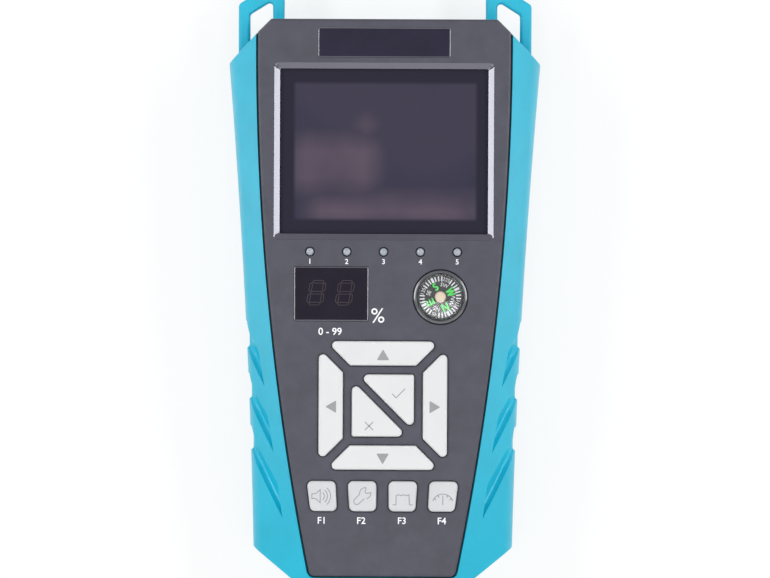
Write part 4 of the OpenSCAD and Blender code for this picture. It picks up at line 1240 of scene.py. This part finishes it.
def stroke(points, width):
    """The outline of a line of some width along the points."""
    points = [Vector(p) for p in points]
    right = []
    left = []
    for i, here in enumerate(points):
        ahead = points[min(i + 1, len(points) - 1)] - here
        back = here - points[max(i - 1, 0)]
        ahead = (ahead if ahead.length else back).normalized()
        back = (back if back.length else ahead).normalized()
        out_back = Vector((back.y, -back.x))
        out_ahead = Vector((ahead.y, -ahead.x))
        off = (out_back + out_ahead) * (width / 2) / (1 + out_back.dot(out_ahead))
        right.append(here + off)
        left.append(here - off)
    return right + left[::-1]


def outlined(name, outline, width, low, high):
    """A thin frame along the inside of an outline."""
    inner = grown(outline, -width)
    levels = [(outline, low), (outline, high), (inner, high), (inner, low)]
    return stacked(name, [at_z(edge, z) for edge, z in levels], loop=True)


def words(text, height, x, y, face_z, bold=0.0, turn=0.0):
    """Lettering in the built-in font as a thin solid, centred on a point."""
    curve = bpy.data.curves.new("words", "FONT")
    curve.body = text
    curve.resolution_u = 5
    curve.offset = bold
    curve.extrude = 0.5
    written = bpy.data.objects.new("words", curve)
    bpy.context.scene.collection.objects.link(written)
    graph = bpy.context.evaluated_depsgraph_get()
    mesh = bpy.data.meshes.new_from_object(written.evaluated_get(graph))
    bpy.data.objects.remove(written)
    low = Vector([min(v.co[i] for v in mesh.vertices) for i in range(3)])
    high = Vector([max(v.co[i] for v in mesh.vertices) for i in range(3)])
    scale = height / (high.y - low.y)
    middle = (low + high) / 2
    mesh.transform(
        Matrix.Translation((x, y, face_z + (PRINT_T - SINK) / 2))
        @ Matrix.Rotation(math.radians(turn), 4, "Z")
        @ Matrix.Diagonal((scale, scale, PRINT_T + SINK, 1))
        @ Matrix.Translation(-middle)
    )
    made = bpy.data.objects.new("words", mesh)
    bpy.context.scene.collection.objects.link(made)
    return made


def arrow(node, turn):
    """A triangle on one of the long keys."""
    half = ARROW_W / 2
    corners = [(half, -ARROW_H / 2, ARROW_R), (0, ARROW_H / 2, ARROW_R), (-half, -ARROW_H / 2, ARROW_R)]
    middle = node_box(node).mid
    return placed(rounded(corners), turn, middle.x, middle.y - ARROW_DROP)


def moved(shapes, x, y):
    """Outlines moved as they are."""
    return [[Vector((p[0] + x, p[1] + y)) for p in shape] for shape in shapes]


def speaker():
    """A loudspeaker with three waves."""
    cone = [(-3.9, -0.9), (-2.5, -0.9), (-0.7, -2.5), (-0.7, 2.5), (-2.5, 0.9), (-3.9, 0.9), (-3.9, -1.0)]
    waves = [arc(-1.0, 0, r, -48, 48) for r in (1.9, 3.1, 4.3)]
    return [stroke(line, ICON_LINE) for line in [cone] + waves]


def spanner():
    """An open spanner: its head is drawn as two arcs round one middle, with the mouth between them."""
    handle = [(-1.1, 0.97), (-3.6, -1.6), (-3.7, -2.7), (-2.9, -3.7), (-1.8, -3.6), (0.97, -1.05)]
    rim = arc(1.4, 1.4, 2.5, 8, -78, 10)
    edge = arc(1.4, 1.4, 2.5, 190, 80, 10)
    mouth = [edge[-1], (1.3, 2.4), (1.5, 1.5), (2.4, 1.3), (3.85, 1.75)]
    lines = [[SPANNER_SIZE * Vector(p) for p in line] for line in (handle, mouth, rim, edge)]
    return [stroke(line, ICON_LINE) for line in lines]


def spectrum():
    """The trace of a signal band with a wavy top."""
    trace = [
        (-3.9, -2.4), (-2.6, -2.4), (-2.5, 1.2), (-1.6, 1.5), (-0.7, 1.1), (0.3, 1.5), (1.3, 1.1),
        (2.4, 1.5), (2.6, -2.4), (3.9, -2.4),
    ]
    return [stroke(trace, ICON_LINE)]


def gauge():
    """A dial with four ticks and an upright needle."""
    low_y = -2.2
    inner = 3.1
    outer = 4.1
    dial = arc(0, low_y, outer, 20, 160, 24)
    needle = [(0, -2.4), (0, 1.2)]
    ticks = [[arc(0, low_y, r, turn, turn, 1)[0] for r in (inner, outer)] for turn in (35, 62, 118, 145)]
    return [stroke(line, ICON_LINE) for line in [dial, needle] + ticks]


def key_mark(node, outlines):
    """Flat marks that stand a hair above the face of the key that they are printed on."""
    parts = [slab("mark", outline, KEY_Z - SINK, KEY_Z + PRINT_T) for outline in outlines]
    settle(gathered(node + "_mark", parts), node + "_body", PRINT_GREY)


def marks():
    """Arrows and signs on the keys, and plain numbers beside the lamps, digits and keys."""
    for node, turn in (("key_up", 0), ("key_left", 90), ("key_down", 180), ("key_right", 270)):
        key_mark(node, [arrow(node, turn)])
    key_mark("key_ok", [stroke([(x, PAD_Y + y) for x, y in TICK_SIGN], SIGN_LINE)])
    cross_y = PAD_Y - EXIT_DROP
    left, right = EXIT_XS
    rises = (-EXIT_RISE, EXIT_RISE)
    key_mark("key_exit", [stroke([(left, cross_y - h), (right, cross_y + h)], SIGN_LINE) for h in rises])
    numbers = [words(str(k + 1), LAMP_NUMBER_H, x, LABEL_Y, PANEL_Z, BOLD) for k, x in enumerate(LAMP_XS)]
    for k, (node, icon) in enumerate(zip(FUNCTION_KEYS, (speaker, spanner, spectrum, gauge))):
        middle = node_box(node).mid
        key_mark(node, moved(icon(), middle.x, middle.y - LOW_SIGNS.get(node, 0)))
        label_x = middle.x - KEY_LABEL_SHIFT
        numbers.append(words(f"F{k + 1}", KEY_LABEL_H, label_x, KEY_LABEL_Y, PANEL_Z, BOLD))
    numbers.append(words("0 - 99", CAPTION_H, DIGITS.mid.x - CAPTION_SHIFT, CAPTION_Y, PANEL_Z, BOLD))
    numbers.append(words("%", PERCENT_H, DIGITS.high.x + PERCENT_GAP, PERCENT_Y, PANEL_Z))
    settle(gathered("panel_numbers", numbers), "housing", PRINT_WHITE)


# Windows, plate and lamps

DIGIT_H = 9.7
DIGIT_W = 5.2
DIGIT_PITCH = 11
DIGIT_SHIFT = -0.2
DIGIT_RISE = 0.4
DIGIT_SLANT = 10
SEGMENT_W = 1.25
SEGMENT_GAP = 0.28
SEGMENT_LINE = 0.2
SEGMENT_T = 0.02
DIGIT_R = 0.6
DIGIT_RIM = 0.34
PLATE_R = 0.8
PLATE_RIM = 0.32
PLATE_SINK = 0.14
RIM_SLOPE = 23


def segment_outlines(x, y):
    """The seven bars of one digit, leaning to the right."""
    half = DIGIT_W / 2
    rise = DIGIT_H / 2 - SEGMENT_W / 2

    def bar(ax, ay, bx, by):
        along = (Vector((bx, by)) - Vector((ax, ay))).normalized()
        a = Vector((ax, ay)) + along * SEGMENT_GAP
        b = Vector((bx, by)) - along * SEGMENT_GAP
        side = Vector((along.y, -along.x)) * SEGMENT_W / 2
        nose = along * SEGMENT_W / 2
        return [a, a + nose + side, b - nose + side, b, b - nose - side, a + nose - side]

    bars = [bar(-half, level, half, level) for level in (-rise, 0, rise)]
    bars += [bar(s * half, low, s * half, low + rise) for s in (-1, 1) for low in (-rise, 0)]
    lean = math.tan(math.radians(DIGIT_SLANT))
    return [[Vector((x + p.x + lean * p.y, y + p.y)) for p in outline] for outline in bars]


def rimmed(names, box, r, rim_w, face_z, edge_z, finish, node):
    """A window or plate that lies in the panel, and the sloping rim round it as a piece of its own. The rim
    is paler than the panel as a painted highlight, over the real highlights that its slope catches.
    """
    outline = rectangle(box.size.x, box.size.y, r, box.mid.x, box.mid.y)
    inner = grown(outline, -rim_w)
    face_name, rim_name = names
    settle(slab(face_name, inner, box.low.z, face_z), "housing", finish, [node])
    levels = [(outline, box.low.z), (outline, edge_z), (inner, face_z), (inner, box.low.z)]
    rim = stacked(rim_name, [at_z(edge, z) for edge, z in levels], loop=True)
    settle(rim, "housing", PAINTED_HIGHLIGHT_EDGE)


def windows():
    """The screen's glass, the digit window with its dim bars, and the bare plate."""
    glass = slab("screen_glass", frame_outline(0, 0), SCREEN.low.z, SCREEN.high.z, GLASS_EDGE)
    settle(glass, "housing", SCREEN_GLASS, ["screen_window"])
    top = DIGITS.high.z
    edge_z = top - DIGIT_RIM * math.tan(math.radians(RIM_SLOPE))
    rimmed(("digit_glass", "digit_rim"), DIGITS, DIGIT_R, DIGIT_RIM, top, edge_z, SMOKED, "digit_window")
    bars = []
    for side in (-1, 1):
        x = DIGITS.mid.x + DIGIT_SHIFT + side * DIGIT_PITCH / 2
        bars += segment_outlines(x, DIGITS.mid.y + DIGIT_RISE)
    low = top - SINK
    frames = [outlined("bar", bar, SEGMENT_LINE, low, low + SEGMENT_T) for bar in bars]
    settle(gathered("digit_segments", frames), "housing", SEGMENT)
    top = PLATE.high.z
    face_z = top - PLATE_SINK
    rimmed(("bare_plate", "plate_rim"), PLATE, PLATE_R, PLATE_RIM, face_z, top, PLATE_DARK, "name_plate")


def lamps():
    """The row of status lamps, with domed ends."""
    base_z = LAMPS.high.z - LAMP_DOME_H
    dome = [(LAMP_R * math.cos(a), base_z + LAMP_DOME_H * math.sin(a)) for a in LAMP_DOME_TURNS]
    lamp = turned("lamp", [(LAMP_R, LAMPS.low.z)] + dome, LAMP_XS[0], LAMPS.mid.y, LAMP_SIDES)
    row = copies("lamp_row", lamp, LAMP_COUNT, (0, 0, 0), (LAMP_PITCH, 0, 0), LAMP_WHITE)
    settle(row, "housing", LAMP_WHITE, ["status_lamps"])


# Compass

LENS = node_box("compass_lens")
HUB = node_box("compass_cap")
NORTH = -64
CAPSULE_R = 10.25
CAPSULE_OUTER = 9.7
CAPSULE_INNER = 9.3
LENS_DROP = 0.6
LENS_CHAMFER = 0.42
LENS_T = 0.5
LENS_PLAY = 0.08
LENS_RINGS = 12
LENS_POLE = 0.005
COMPASS_SIDES = 96
CREST_FALL = 0.9
CUP_STEP = 0.2
CUP_FLOOR_T = 1
CAPSULE_SEAT = 1
RING_DROP = 0.2
RING_LIP = 0.5
RING_LIP_T = 0.7
RING_EDGE = 0.2
RING_MOUTH = 0.1
CARD_EDGE = 0.1
HUB_EDGE = 0.6
TICK_R = 7
TICK_L = 1.9
TICK_W = 0.5
TICK_CORNER_R = 0.1
BLOCK_W = 0.95
TICK_TURNS = (10, 20, 30, 60, 70, 80)
LETTER_H = 3.1
LETTER_W = 2.0
LETTER_LINE = 0.62
LETTER_WIDEN = 1.35
LETTER_R = 4.35
HALF_H = 1.5
HALF_R = 4.75
DEGREE_H = 1.35


def compass_case(x, y):
    """The black cup in the panel, the capsule's rim and the lens."""
    r = CASE.size.x / 2
    bore = LENS.size.x / 2 + LENS_PLAY
    ring_z = PANEL_Z - RING_DROP
    lip_z = PANEL_Z - RING_LIP_T
    seat = LENS.low.z - CAPSULE_SEAT
    cup = turned("compass_ring", [
        (r - RING_LIP, CASE.low.z), (r - RING_LIP, lip_z), (r, lip_z), (r, ring_z - RING_EDGE),
        (r - RING_EDGE, ring_z), (CAPSULE_R + RING_MOUTH, ring_z), (CAPSULE_R, ring_z - RING_MOUTH),
        (CAPSULE_R, seat), (bore - CUP_STEP, seat), (bore - CUP_STEP, CASE.low.z + CUP_FLOOR_T),
    ], x, y, COMPASS_SIDES)
    settle(cup, "housing", RING_BLACK, ["compass_case"])
    steep = math.tan(math.radians(RIM_SLOPE))
    crest_z = CASE.high.z
    rim = turned("compass_rim", [
        (CAPSULE_R, seat), (CAPSULE_R, crest_z - (CAPSULE_R - CAPSULE_OUTER) * steep),
        (CAPSULE_OUTER, crest_z), (CAPSULE_INNER, crest_z), (bore, crest_z - CREST_FALL), (bore, seat),
    ], x, y, COMPASS_SIDES, loop=True)
    settle(rim, "housing", CAPSULE, sharp=20)
    lens_r = LENS.size.x / 2
    dome_r = lens_r - LENS_CHAMFER
    edge_z = LENS.high.z - LENS_DROP
    shares = [max(LENS_POLE, k / LENS_RINGS) for k in range(LENS_RINGS + 1)]
    dome = [(dome_r * t, lerp(LENS.high.z, edge_z, t * t)) for t in shares]
    under = [(r, z - LENS_T) for r, z in dome]
    foot = [(dome_r, LENS.low.z), (lens_r, LENS.low.z), (lens_r, edge_z - LENS_CHAMFER * steep)]
    glass = turned("compass_glass", under + foot + dome[::-1], x, y, COMPASS_SIDES)
    settle(glass, "housing", CLEAR, ["compass_lens"], sharp=20)


def bold_letter(name):
    """The strokes of one of the four main letters, round the origin."""
    half = LETTER_W / 2
    high = LETTER_H / 2
    edge = high - LETTER_LINE / 2
    bow = edge / 2
    wide = LETTER_WIDEN * half
    stem = [(-half, -high), (-half, high)]
    lines = {
        "N": [stem, [(-half, high), (half, -high)], [(half, -high), (half, high)]],
        "E": [stem] + [[(-half, y), (half, y)] for y in (-edge, 0, edge)],
        "S": [arc(0, bow, bow, 40, 270) + arc(0, -bow, bow, 90, -140)[1:]],
        "W": [[(s * wide, high), (s * wide / 2, -high)] for s in (-1, 1)]
        + [[(s * wide / 2, -high), (0, high)] for s in (-1, 1)],
    }
    return [stroke(line, LETTER_LINE) for line in lines[name]]


def compass_card(x, y):
    """The card that turns: its ticks, letters and degrees, and the cap on its pivot."""
    face = CARD.high.z
    card_r = CARD.size.x / 2
    section = [(card_r, CARD.low.z), (card_r, face - CARD_EDGE), (card_r - CARD_EDGE, face)]
    dial = turned("compass_dial", section, x, y, CUP_SIDES)
    settle(dial, "compass_rose", DIAL_BLACK, ["compass_card"])

    def bar(width, turn):
        flat = placed(rectangle(TICK_L, width, TICK_CORNER_R, TICK_R, 0), NORTH + turn, 0, 0)
        return slab("tick", flat, face - SINK, face + PRINT_T)

    group = gathered("ticks", [bar(TICK_W, turn) for turn in TICK_TURNS] + [bar(BLOCK_W, 0)])
    ticks = copies("compass_ticks", group, 4, (x, y, 0), (0, 0, math.pi / 2), PRINT_WHITE, RING_TREE)
    settle(ticks, "compass_rose", PRINT_WHITE)

    def around(text, height, r, turn):
        a = math.radians(NORTH - turn)
        return words(text, height, x + r * math.cos(a), y + r * math.sin(a), face, 0, NORTH - turn - 90)

    letters = []
    for k, name in enumerate("NESW"):
        turn = NORTH - 90 * k
        place = Vector((x, y)) + Matrix.Rotation(math.radians(turn), 2) @ Vector((LETTER_R, 0))
        lines = [placed(line, turn - 90, *place) for line in bold_letter(name)]
        bars = [slab("line", line, face - SINK, face + PRINT_T) for line in lines]
        letters.append(carved(bars[0], bars[1:], "UNION"))
    settle(gathered("compass_letters", letters), "compass_rose", PRINT_GREEN)
    small = []
    for k, name in enumerate(("NE", "SE", "SW", "NW")):
        turn = 45 + 90 * k
        small.append(around(name, HALF_H, HALF_R, turn))
        small.append(around(str(turn), DEGREE_H, TICK_R, turn))
    settle(gathered("compass_half_letters", small), "compass_rose", PRINT_WHITE)
    hub_r = HUB.size.x / 2
    hub = [(hub_r, HUB.low.z)] + [(hub_r - inset, HUB.high.z - drop) for inset, drop in quarter(HUB_EDGE, 6)]
    settle(turned("compass_hub", hub, x, y, 48), "compass_rose", HUB_BEIGE, ["compass_cap"])


def compass():
    """The compass at its place in the panel."""
    compass_case(CASE.mid.x, CASE.mid.y)
    compass_card(CASE.mid.x, CASE.mid.y)


# Back, ends and screws

DOOR_PLAY = 0.4
DOOR_LID_R = 1.8
DOOR_EDGE = 0.5
DOOR_WELL = 1.1
DOOR_WELL_R = 3.1
DOOR_WELL_MOUTH = 0.35
GRIP_W = 24
GRIP_H = 14
GRIP_R = 2
GRIP_RISE = 13
GRIP_DEPTH = 0.9
GRIP_MOUTH = 0.4
GRIP_COUNT = 6
GRIP_PITCH = 1.9
RIB_L = 19
RIB_W = 0.9
RIB_R = 0.44
RIB_LEVELS = (0.15, 1.2)
RIB_EDGE = 0.3
SHANK_R = 1.25
HEAD_ROUND = 0.9
SCREW_PITCH = 0.6
SCREW_NECK = 0.3
SCREW_RIDGE = 0.2
SCREW_POINT = 1
SCREW_TIP_R = 0.3
CROSS_L = 3.2
CROSS_W = 0.8
CROSS_R = 0.05
CROSS_DEPTH = 1.1


def cross_cut(x, y, low, depth):
    """A cutter for a screw's cross recess, open downwards."""
    sizes = ((CROSS_L, CROSS_W), (CROSS_W, CROSS_L))
    bars = [slab("bar", rectangle(w, h, CROSS_R, x, y, 2), low - OVER, low + depth) for w, h in sizes]
    return carved(bars[0], bars[1:], "UNION")


def screw(x, y, head_low, head_high, tip):
    """A pan head screw with its head down."""
    head = [(HEAD_R - inset, head_low + drop) for inset, drop in reversed(quarter(HEAD_ROUND, 6))]
    profile = head + [(HEAD_R, head_high), (SHANK_R, head_high)]
    turns = int((tip - head_high - SCREW_POINT) / SCREW_PITCH)
    for k in range(turns):
        z = head_high + SCREW_NECK + SCREW_PITCH * k
        profile += [(SHANK_R, z), (SHANK_R + SCREW_RIDGE, z + SCREW_RIDGE), (SHANK_R, z + 2 * SCREW_RIDGE)]
    profile.append((SCREW_TIP_R, tip))
    made = turned("screw", profile, x, y, LAMP_SIDES)
    return carved(made, [cross_cut(x, y, head_low, CROSS_DEPTH)])


def back():
    """The battery door with its grip, and the screws."""
    lid = rectangle(DOOR_W - DOOR_PLAY, DOOR_L - DOOR_PLAY, DOOR_LID_R, 0, DOOR_Y)
    door = slab("door_panel", lid, 0, DOOR_DEPTH - SEAM, 0, DOOR_EDGE)
    grip_y = DOOR_Y - DOOR_L / 2 + GRIP_RISE
    grip = hole(rectangle(GRIP_W, GRIP_H, GRIP_R, 0, grip_y), 0, GRIP_DEPTH, foot=GRIP_MOUTH)
    well = hole(circle(DOOR_WELL_R, 0, DOOR_SCREW.mid.y), 0, DOOR_WELL, foot=DOOR_WELL_MOUTH)
    bore = slab("bore", circle(SCREW_HOLE_R, 0, DOOR_SCREW.mid.y, HOLE_SIDES), OVER / 2, DOOR_DEPTH + OVER)
    carved(door, [grip, well, bore])
    settle(door, "housing", TURQUOISE, ["battery_door"], sharp=20)
    first_y = grip_y - GRIP_PITCH * (GRIP_COUNT - 1) / 2
    low, high = RIB_LEVELS
    rib = slab("rib", rectangle(RIB_L, RIB_W, RIB_R, 0, first_y), low, high, 0, RIB_EDGE)
    ribs = copies("door_ribs", rib, GRIP_COUNT, (0, 0, 0), (0, GRIP_PITCH, 0), TURQUOISE)
    settle(ribs, "housing", TURQUOISE)
    pairs = []
    for x, y in BOSSES:
        one = screw(x, y, SCREWS.low.z, SEAT_Z, SCREWS.high.z)
        pairs.append(copies("pair", one, 2, (0, 0, 0), (-2 * x, 0, 0), STEEL))
    settle(gathered("housing_screws", pairs), "housing", STEEL, ["shell_screws"])
    door_screw = screw(0, DOOR_SCREW.mid.y, DOOR_SCREW.low.z, DOOR_WELL, DOOR_SCREW.high.z)
    door_screw.name = "door_screw_head"
    settle(door_screw, "housing", STEEL, ["door_screw"])


THREAD_R = 4.72
THREAD_PITCH = 0.794
THREAD_DEPTH = 0.42
THREAD_ROWS = 8
THREAD_SIDES = 64
THREAD_FADE = 0.6
SOCKET_BORE_R = 3.22
SOCKET_MOUTH = 0.35
SOCKET_BODY_R = 0.8
BODY_SINK = 0.3
NUT_CORNER_R = 0.15
NUT_FACE_IN = 0.1
NUT_CLEAR = 0.01
NUT_CHAMFER = 0.45
NUT_PLAY = 0.02
WASHER_PLAY = 0.05
WASHER_EDGE = 0.15


def thread_rings(tip, end):
    """Rings along a thread, which fades in from its tip."""
    rings = []
    rows = int((end - tip) / THREAD_PITCH * THREAD_ROWS)
    for row in range(rows + 1):
        y = tip + THREAD_PITCH * row / THREAD_ROWS
        fade = min(1, max(0, (y - tip) / THREAD_FADE))
        ring = []
        for k in range(THREAD_SIDES):
            wave = abs((y / THREAD_PITCH + k / THREAD_SIDES) % 1 - 0.5) * 2
            r = THREAD_R - THREAD_DEPTH * (wave * fade + 1 - fade)
            a = 2 * math.pi * k / THREAD_SIDES
            ring.append(Vector((r * math.cos(a), r * math.sin(a), y)))
        rings.append(ring)
    return rings


def aerial():
    """The aerial socket's thread, its body inside, and its nut and washer."""
    z = SOCKET.mid.z
    tip = SOCKET.low.y
    wall_in = Y_BOTTOM + WALL
    made = along_y(stacked("aerial_thread", thread_rings(tip, wall_in)), 0, z)
    inner = wall_in + SEAM
    body_side = rectangle(SOCKET.size.x, SOCKET.size.z, SOCKET_BODY_R)
    carved(made, [along_y(slab("body", body_side, inner - BODY_SINK, SOCKET.high.y), 0, z)], "UNION")
    mouth_r = SOCKET_BORE_R + SOCKET_MOUTH
    bore = turned("bore", [
        (mouth_r, tip - OVER), (mouth_r, tip), (SOCKET_BORE_R, tip + SOCKET_MOUTH), (SOCKET_BORE_R, Y_BOTTOM),
    ])
    carved(made, [along_y(bore, 0, z)])
    settle(made, "housing", NICKEL, ["aerial_socket"], sharp=40)
    low = NUT.low.y
    high = NUT.high.y
    across = NUT.size.z / 2
    far = across / math.cos(math.pi / 6)
    turns = [k * math.pi / 3 for k in range(6)]
    corners = [(far * math.cos(a), far * math.sin(a), NUT_CORNER_R) for a in turns]
    hexagon = slab("aerial_nut", rounded(corners, 3), low, high)
    shape = turned("shape", [
        (across - NUT_FACE_IN, low - NUT_CLEAR), (far, low + NUT_CHAMFER),
        (far, high - NUT_CHAMFER), (across - NUT_FACE_IN, high + NUT_CLEAR),
    ])
    carved(hexagon, [shape], "INTERSECT")
    nut_r = THREAD_R + NUT_PLAY
    carved(hexagon, [turned("bore", [(nut_r, low - OVER), (nut_r, high + OVER)])])
    settle(along_y(hexagon, 0, z), "housing", NICKEL, ["socket_nut"])
    box = node_box("socket_washer")
    outer = box.size.x / 2
    bore_r = THREAD_R + WASHER_PLAY
    washer = turned("aerial_washer", [
        (bore_r, box.low.y), (outer - WASHER_EDGE, box.low.y), (outer, box.low.y + WASHER_EDGE),
        (outer, box.high.y), (bore_r, box.high.y),
    ], loop=True)
    settle(along_y(washer, 0, z), "housing", NICKEL, ["socket_washer"])


THUMB_R = 0.4
THUMB_EDGE = 0.2
THUMB_RIBS = 4
THUMB_RIB_PITCH = 0.9
THUMB_RIB_W = 0.45
THUMB_RIB_IN = 0.5
THUMB_RIB_R = 0.2
THUMB_RIB_H = 0.35
THUMB_RIB_ROOT = 0.6
THUMB_RIB_EDGE = 0.15


def slider():
    """The power switch's slider, with ribs on its end."""
    box = SLIDER
    face = rectangle(box.size.x, box.size.z, THUMB_R)
    thumb = slab("slider_thumb", face, box.low.y, box.high.y - THUMB_RIB_H, THUMB_EDGE)
    settle(along_y(thumb, box.mid.x, box.mid.z), "power_slider", BLACK, ["switch_slider"])
    rib_face = rectangle(THUMB_RIB_W, box.size.z - THUMB_RIB_IN, THUMB_RIB_R)
    rib = slab("rib", rib_face, box.high.y - THUMB_RIB_ROOT, box.high.y, THUMB_RIB_EDGE)
    along_y(rib, box.mid.x - THUMB_RIB_PITCH * (THUMB_RIBS - 1) / 2, box.mid.z)
    ribs = copies("slider_ribs", rib, THUMB_RIBS, (0, 0, 0), (THUMB_RIB_PITCH, 0, 0), BLACK)
    settle(ribs, "power_slider", BLACK)


# Pieces that keep their CAD shape

CARRIED = (
    (FOAM, "foam", ("screen_gasket",)),
    (SMOKED, "screen_glass", ("lcd_panel",)),
    (BLACK, "black_plastic", ("lcd_holder", "board_link", "digit_display", "power_inlet", "sounder")),
    (WHITE, "white_plastic", ("battery_plug", "socket_insulator")),
    (RIBBON, "ribbon", ("lcd_ribbon",)),
    (SILICONE, "silicone", ("key_mat",)),
    (BOARD, "board", ("key_board", "main_board")),
    (TINPLATE, "tinplate", ("tuner_can", "switch_body", "compass_magnet")),
    (STEEL, "screw_steel", ("key_board_screws", "main_board_screws")),
    (BRASS, "brass", ("compass_pivot",)),
    (CELL_WRAP, "cell_wrap", ("battery_pack",)),
    (WIRE, "wire", ("battery_lead",)),
)


def carried_over():
    """Gives the pieces that keep their CAD shape a finish of their own."""
    for finish, slot, nodes in CARRIED:
        for node in nodes:
            piece = frame["nodes"][node]
            piece.data.materials.clear()
            piece.data.materials.append(finish)


rear_housing()
front_housing()
screen_frame()
for key_node, key_outline in KEYS.items():
    key_piece(key_node, key_outline)
windows()
lamps()
compass()
marks()
back()
aerial()
slider()
carried_over()

# Camera, light and floor

IMAGE_W = 770
MM_PER_PIXEL = 0.3855
VIEW_MIDDLE = Vector((0.54, Y_TOP - 103.97, PANEL_Z))
VIEW_SIDE = 20
VIEW_RISE = 19
VIEW_ROLL = 0.26
CAMERA_FAR = 2500
SENSOR_W = 36
WORLD_LIGHT = 0.39
FLOOR_CLOUD_W = 300
FLOOR_DARK = (0.88, 0.88, 0.88)
FLOOR_PALE = (0.92, 0.92, 0.92)
FLOOR_ROUGH = 0.9
FLOOR_SPECULAR = 0.1
FLOOR_GLOW = 0.75
# In metres
FLOOR_HALF = 4
FLOOR_DROP = 0.0003
# Name, place, aim and size in metres, and power in watts
LIGHTS = (
    ("side_light_right", (0.935, 0.44, 0.94), (0, 0.44, 0.03), (1.1, 0.26), 8.6),
    ("side_light_left", (-0.935, 0.44, 0.94), (0, 0.44, 0.03), (1.1, 0.26), 8.6),
    ("high_light", (0, -0.4, 2.3), (0, 0, 0), (1.1, 0.52), 8),
    ("front_light", (0, -2.0, 1.94), (0, 0, 0), (1.78, 1.07), 8),
    ("corner_light_right", (0.757, -0.757, 1.19), (0, 0.05, 0.04), (0.6, 0.45), 2),
    ("corner_light_left", (-0.757, -0.757, 1.19), (0, 0.05, 0.04), (0.6, 0.45), 2),
)


def camera():
    """The camera, over the panel at the photograph's viewing angle."""
    lens = bpy.data.cameras.new("camera")
    lens.sensor_width = SENSOR_W
    lens.lens = CAMERA_FAR / (IMAGE_W * MM_PER_PIXEL) * SENSOR_W
    lens.clip_start = 0.1
    lens.clip_end = 50
    made = bpy.data.objects.new("camera", lens)
    made.location = (VIEW_MIDDLE + Vector((VIEW_SIDE, VIEW_RISE, CAMERA_FAR))) * MM
    tilt = -math.atan2(VIEW_RISE, CAMERA_FAR)
    turn = math.atan2(VIEW_SIDE, CAMERA_FAR)
    made.rotation_euler = (tilt, turn, math.radians(VIEW_ROLL))
    bpy.context.scene.collection.objects.link(made)
    bpy.context.scene.camera = made


def softbox(name, place, aim, size, power):
    """A soft rectangular light that faces a point."""
    light = bpy.data.lights.new(name, "AREA")
    light.shape = "RECTANGLE"
    light.size, light.size_y = size
    light.energy = power
    made = bpy.data.objects.new(name, light)
    made.location = place
    made.rotation_euler = (Vector(aim) - Vector(place)).to_track_quat("-Z", "Y").to_euler()
    bpy.context.scene.collection.objects.link(made)


def sees_background(f):
    """1 for rays that show the background: camera, glossy and transmission rays."""
    path = f.add("ShaderNodeLightPath")
    total = maths(f, "MAXIMUM", path.outputs["Is Camera Ray"], path.outputs["Is Glossy Ray"])
    return maths(f, "MAXIMUM", total, path.outputs["Is Transmission Ray"])


def world():
    """Even light all round, in front of a white background."""
    made = bpy.data.worlds.new("studio")
    made.use_nodes = True
    made.node_tree.nodes.clear()
    f = SimpleNamespace(add=made.node_tree.nodes.new, link=made.node_tree.links.new)
    choice = f.add("ShaderNodeMixShader")
    f.link(sees_background(f), choice.inputs["Fac"])
    for socket, strength in ((choice.inputs[1], WORLD_LIGHT), (choice.inputs[2], 1)):
        light = f.add("ShaderNodeBackground")
        light.inputs["Color"].default_value = (1, 1, 1, 1)
        light.inputs["Strength"].default_value = strength
        f.link(light.outputs["Background"], socket)
    result = f.add("ShaderNodeOutputWorld")
    f.link(choice.outputs["Shader"], result.inputs["Surface"])
    bpy.context.scene.world = made


def floor():
    """A pale floor that keeps the object's shadow."""
    bm = bmesh.new()
    bmesh.ops.create_grid(bm, x_segments=8, y_segments=8, size=FLOOR_HALF)
    made = add_object("floor", bm)
    made.data.transform(Matrix.Translation((0, 0, -FLOOR_DROP)))
    f = start_finish("floor")
    f.link(tint(f, noise(f, FLOOR_CLOUD_W), FLOOR_DARK, FLOOR_PALE), f.shader.inputs["Base Color"])
    f.shader.inputs["Roughness"].default_value = FLOOR_ROUGH
    f.shader.inputs["Specular IOR Level"].default_value = FLOOR_SPECULAR
    glow = f.add("ShaderNodeEmission")
    glow.inputs["Strength"].default_value = 1
    choice = f.add("ShaderNodeMixShader")
    f.link(maths(f, "MULTIPLY", sees_background(f), FLOOR_GLOW), choice.inputs["Fac"])
    f.link(f.shader.outputs["BSDF"], choice.inputs[1])
    f.link(glow.outputs["Emission"], choice.inputs[2])
    f.link(choice.outputs["Shader"], f.made.node_tree.nodes["Material Output"].inputs["Surface"])
    made.data.materials.append(f.made)


camera()
world()
floor()
for light_values in LIGHTS:
    softbox(*light_values)
bpy.context.scene.view_settings.view_transform = "Standard"
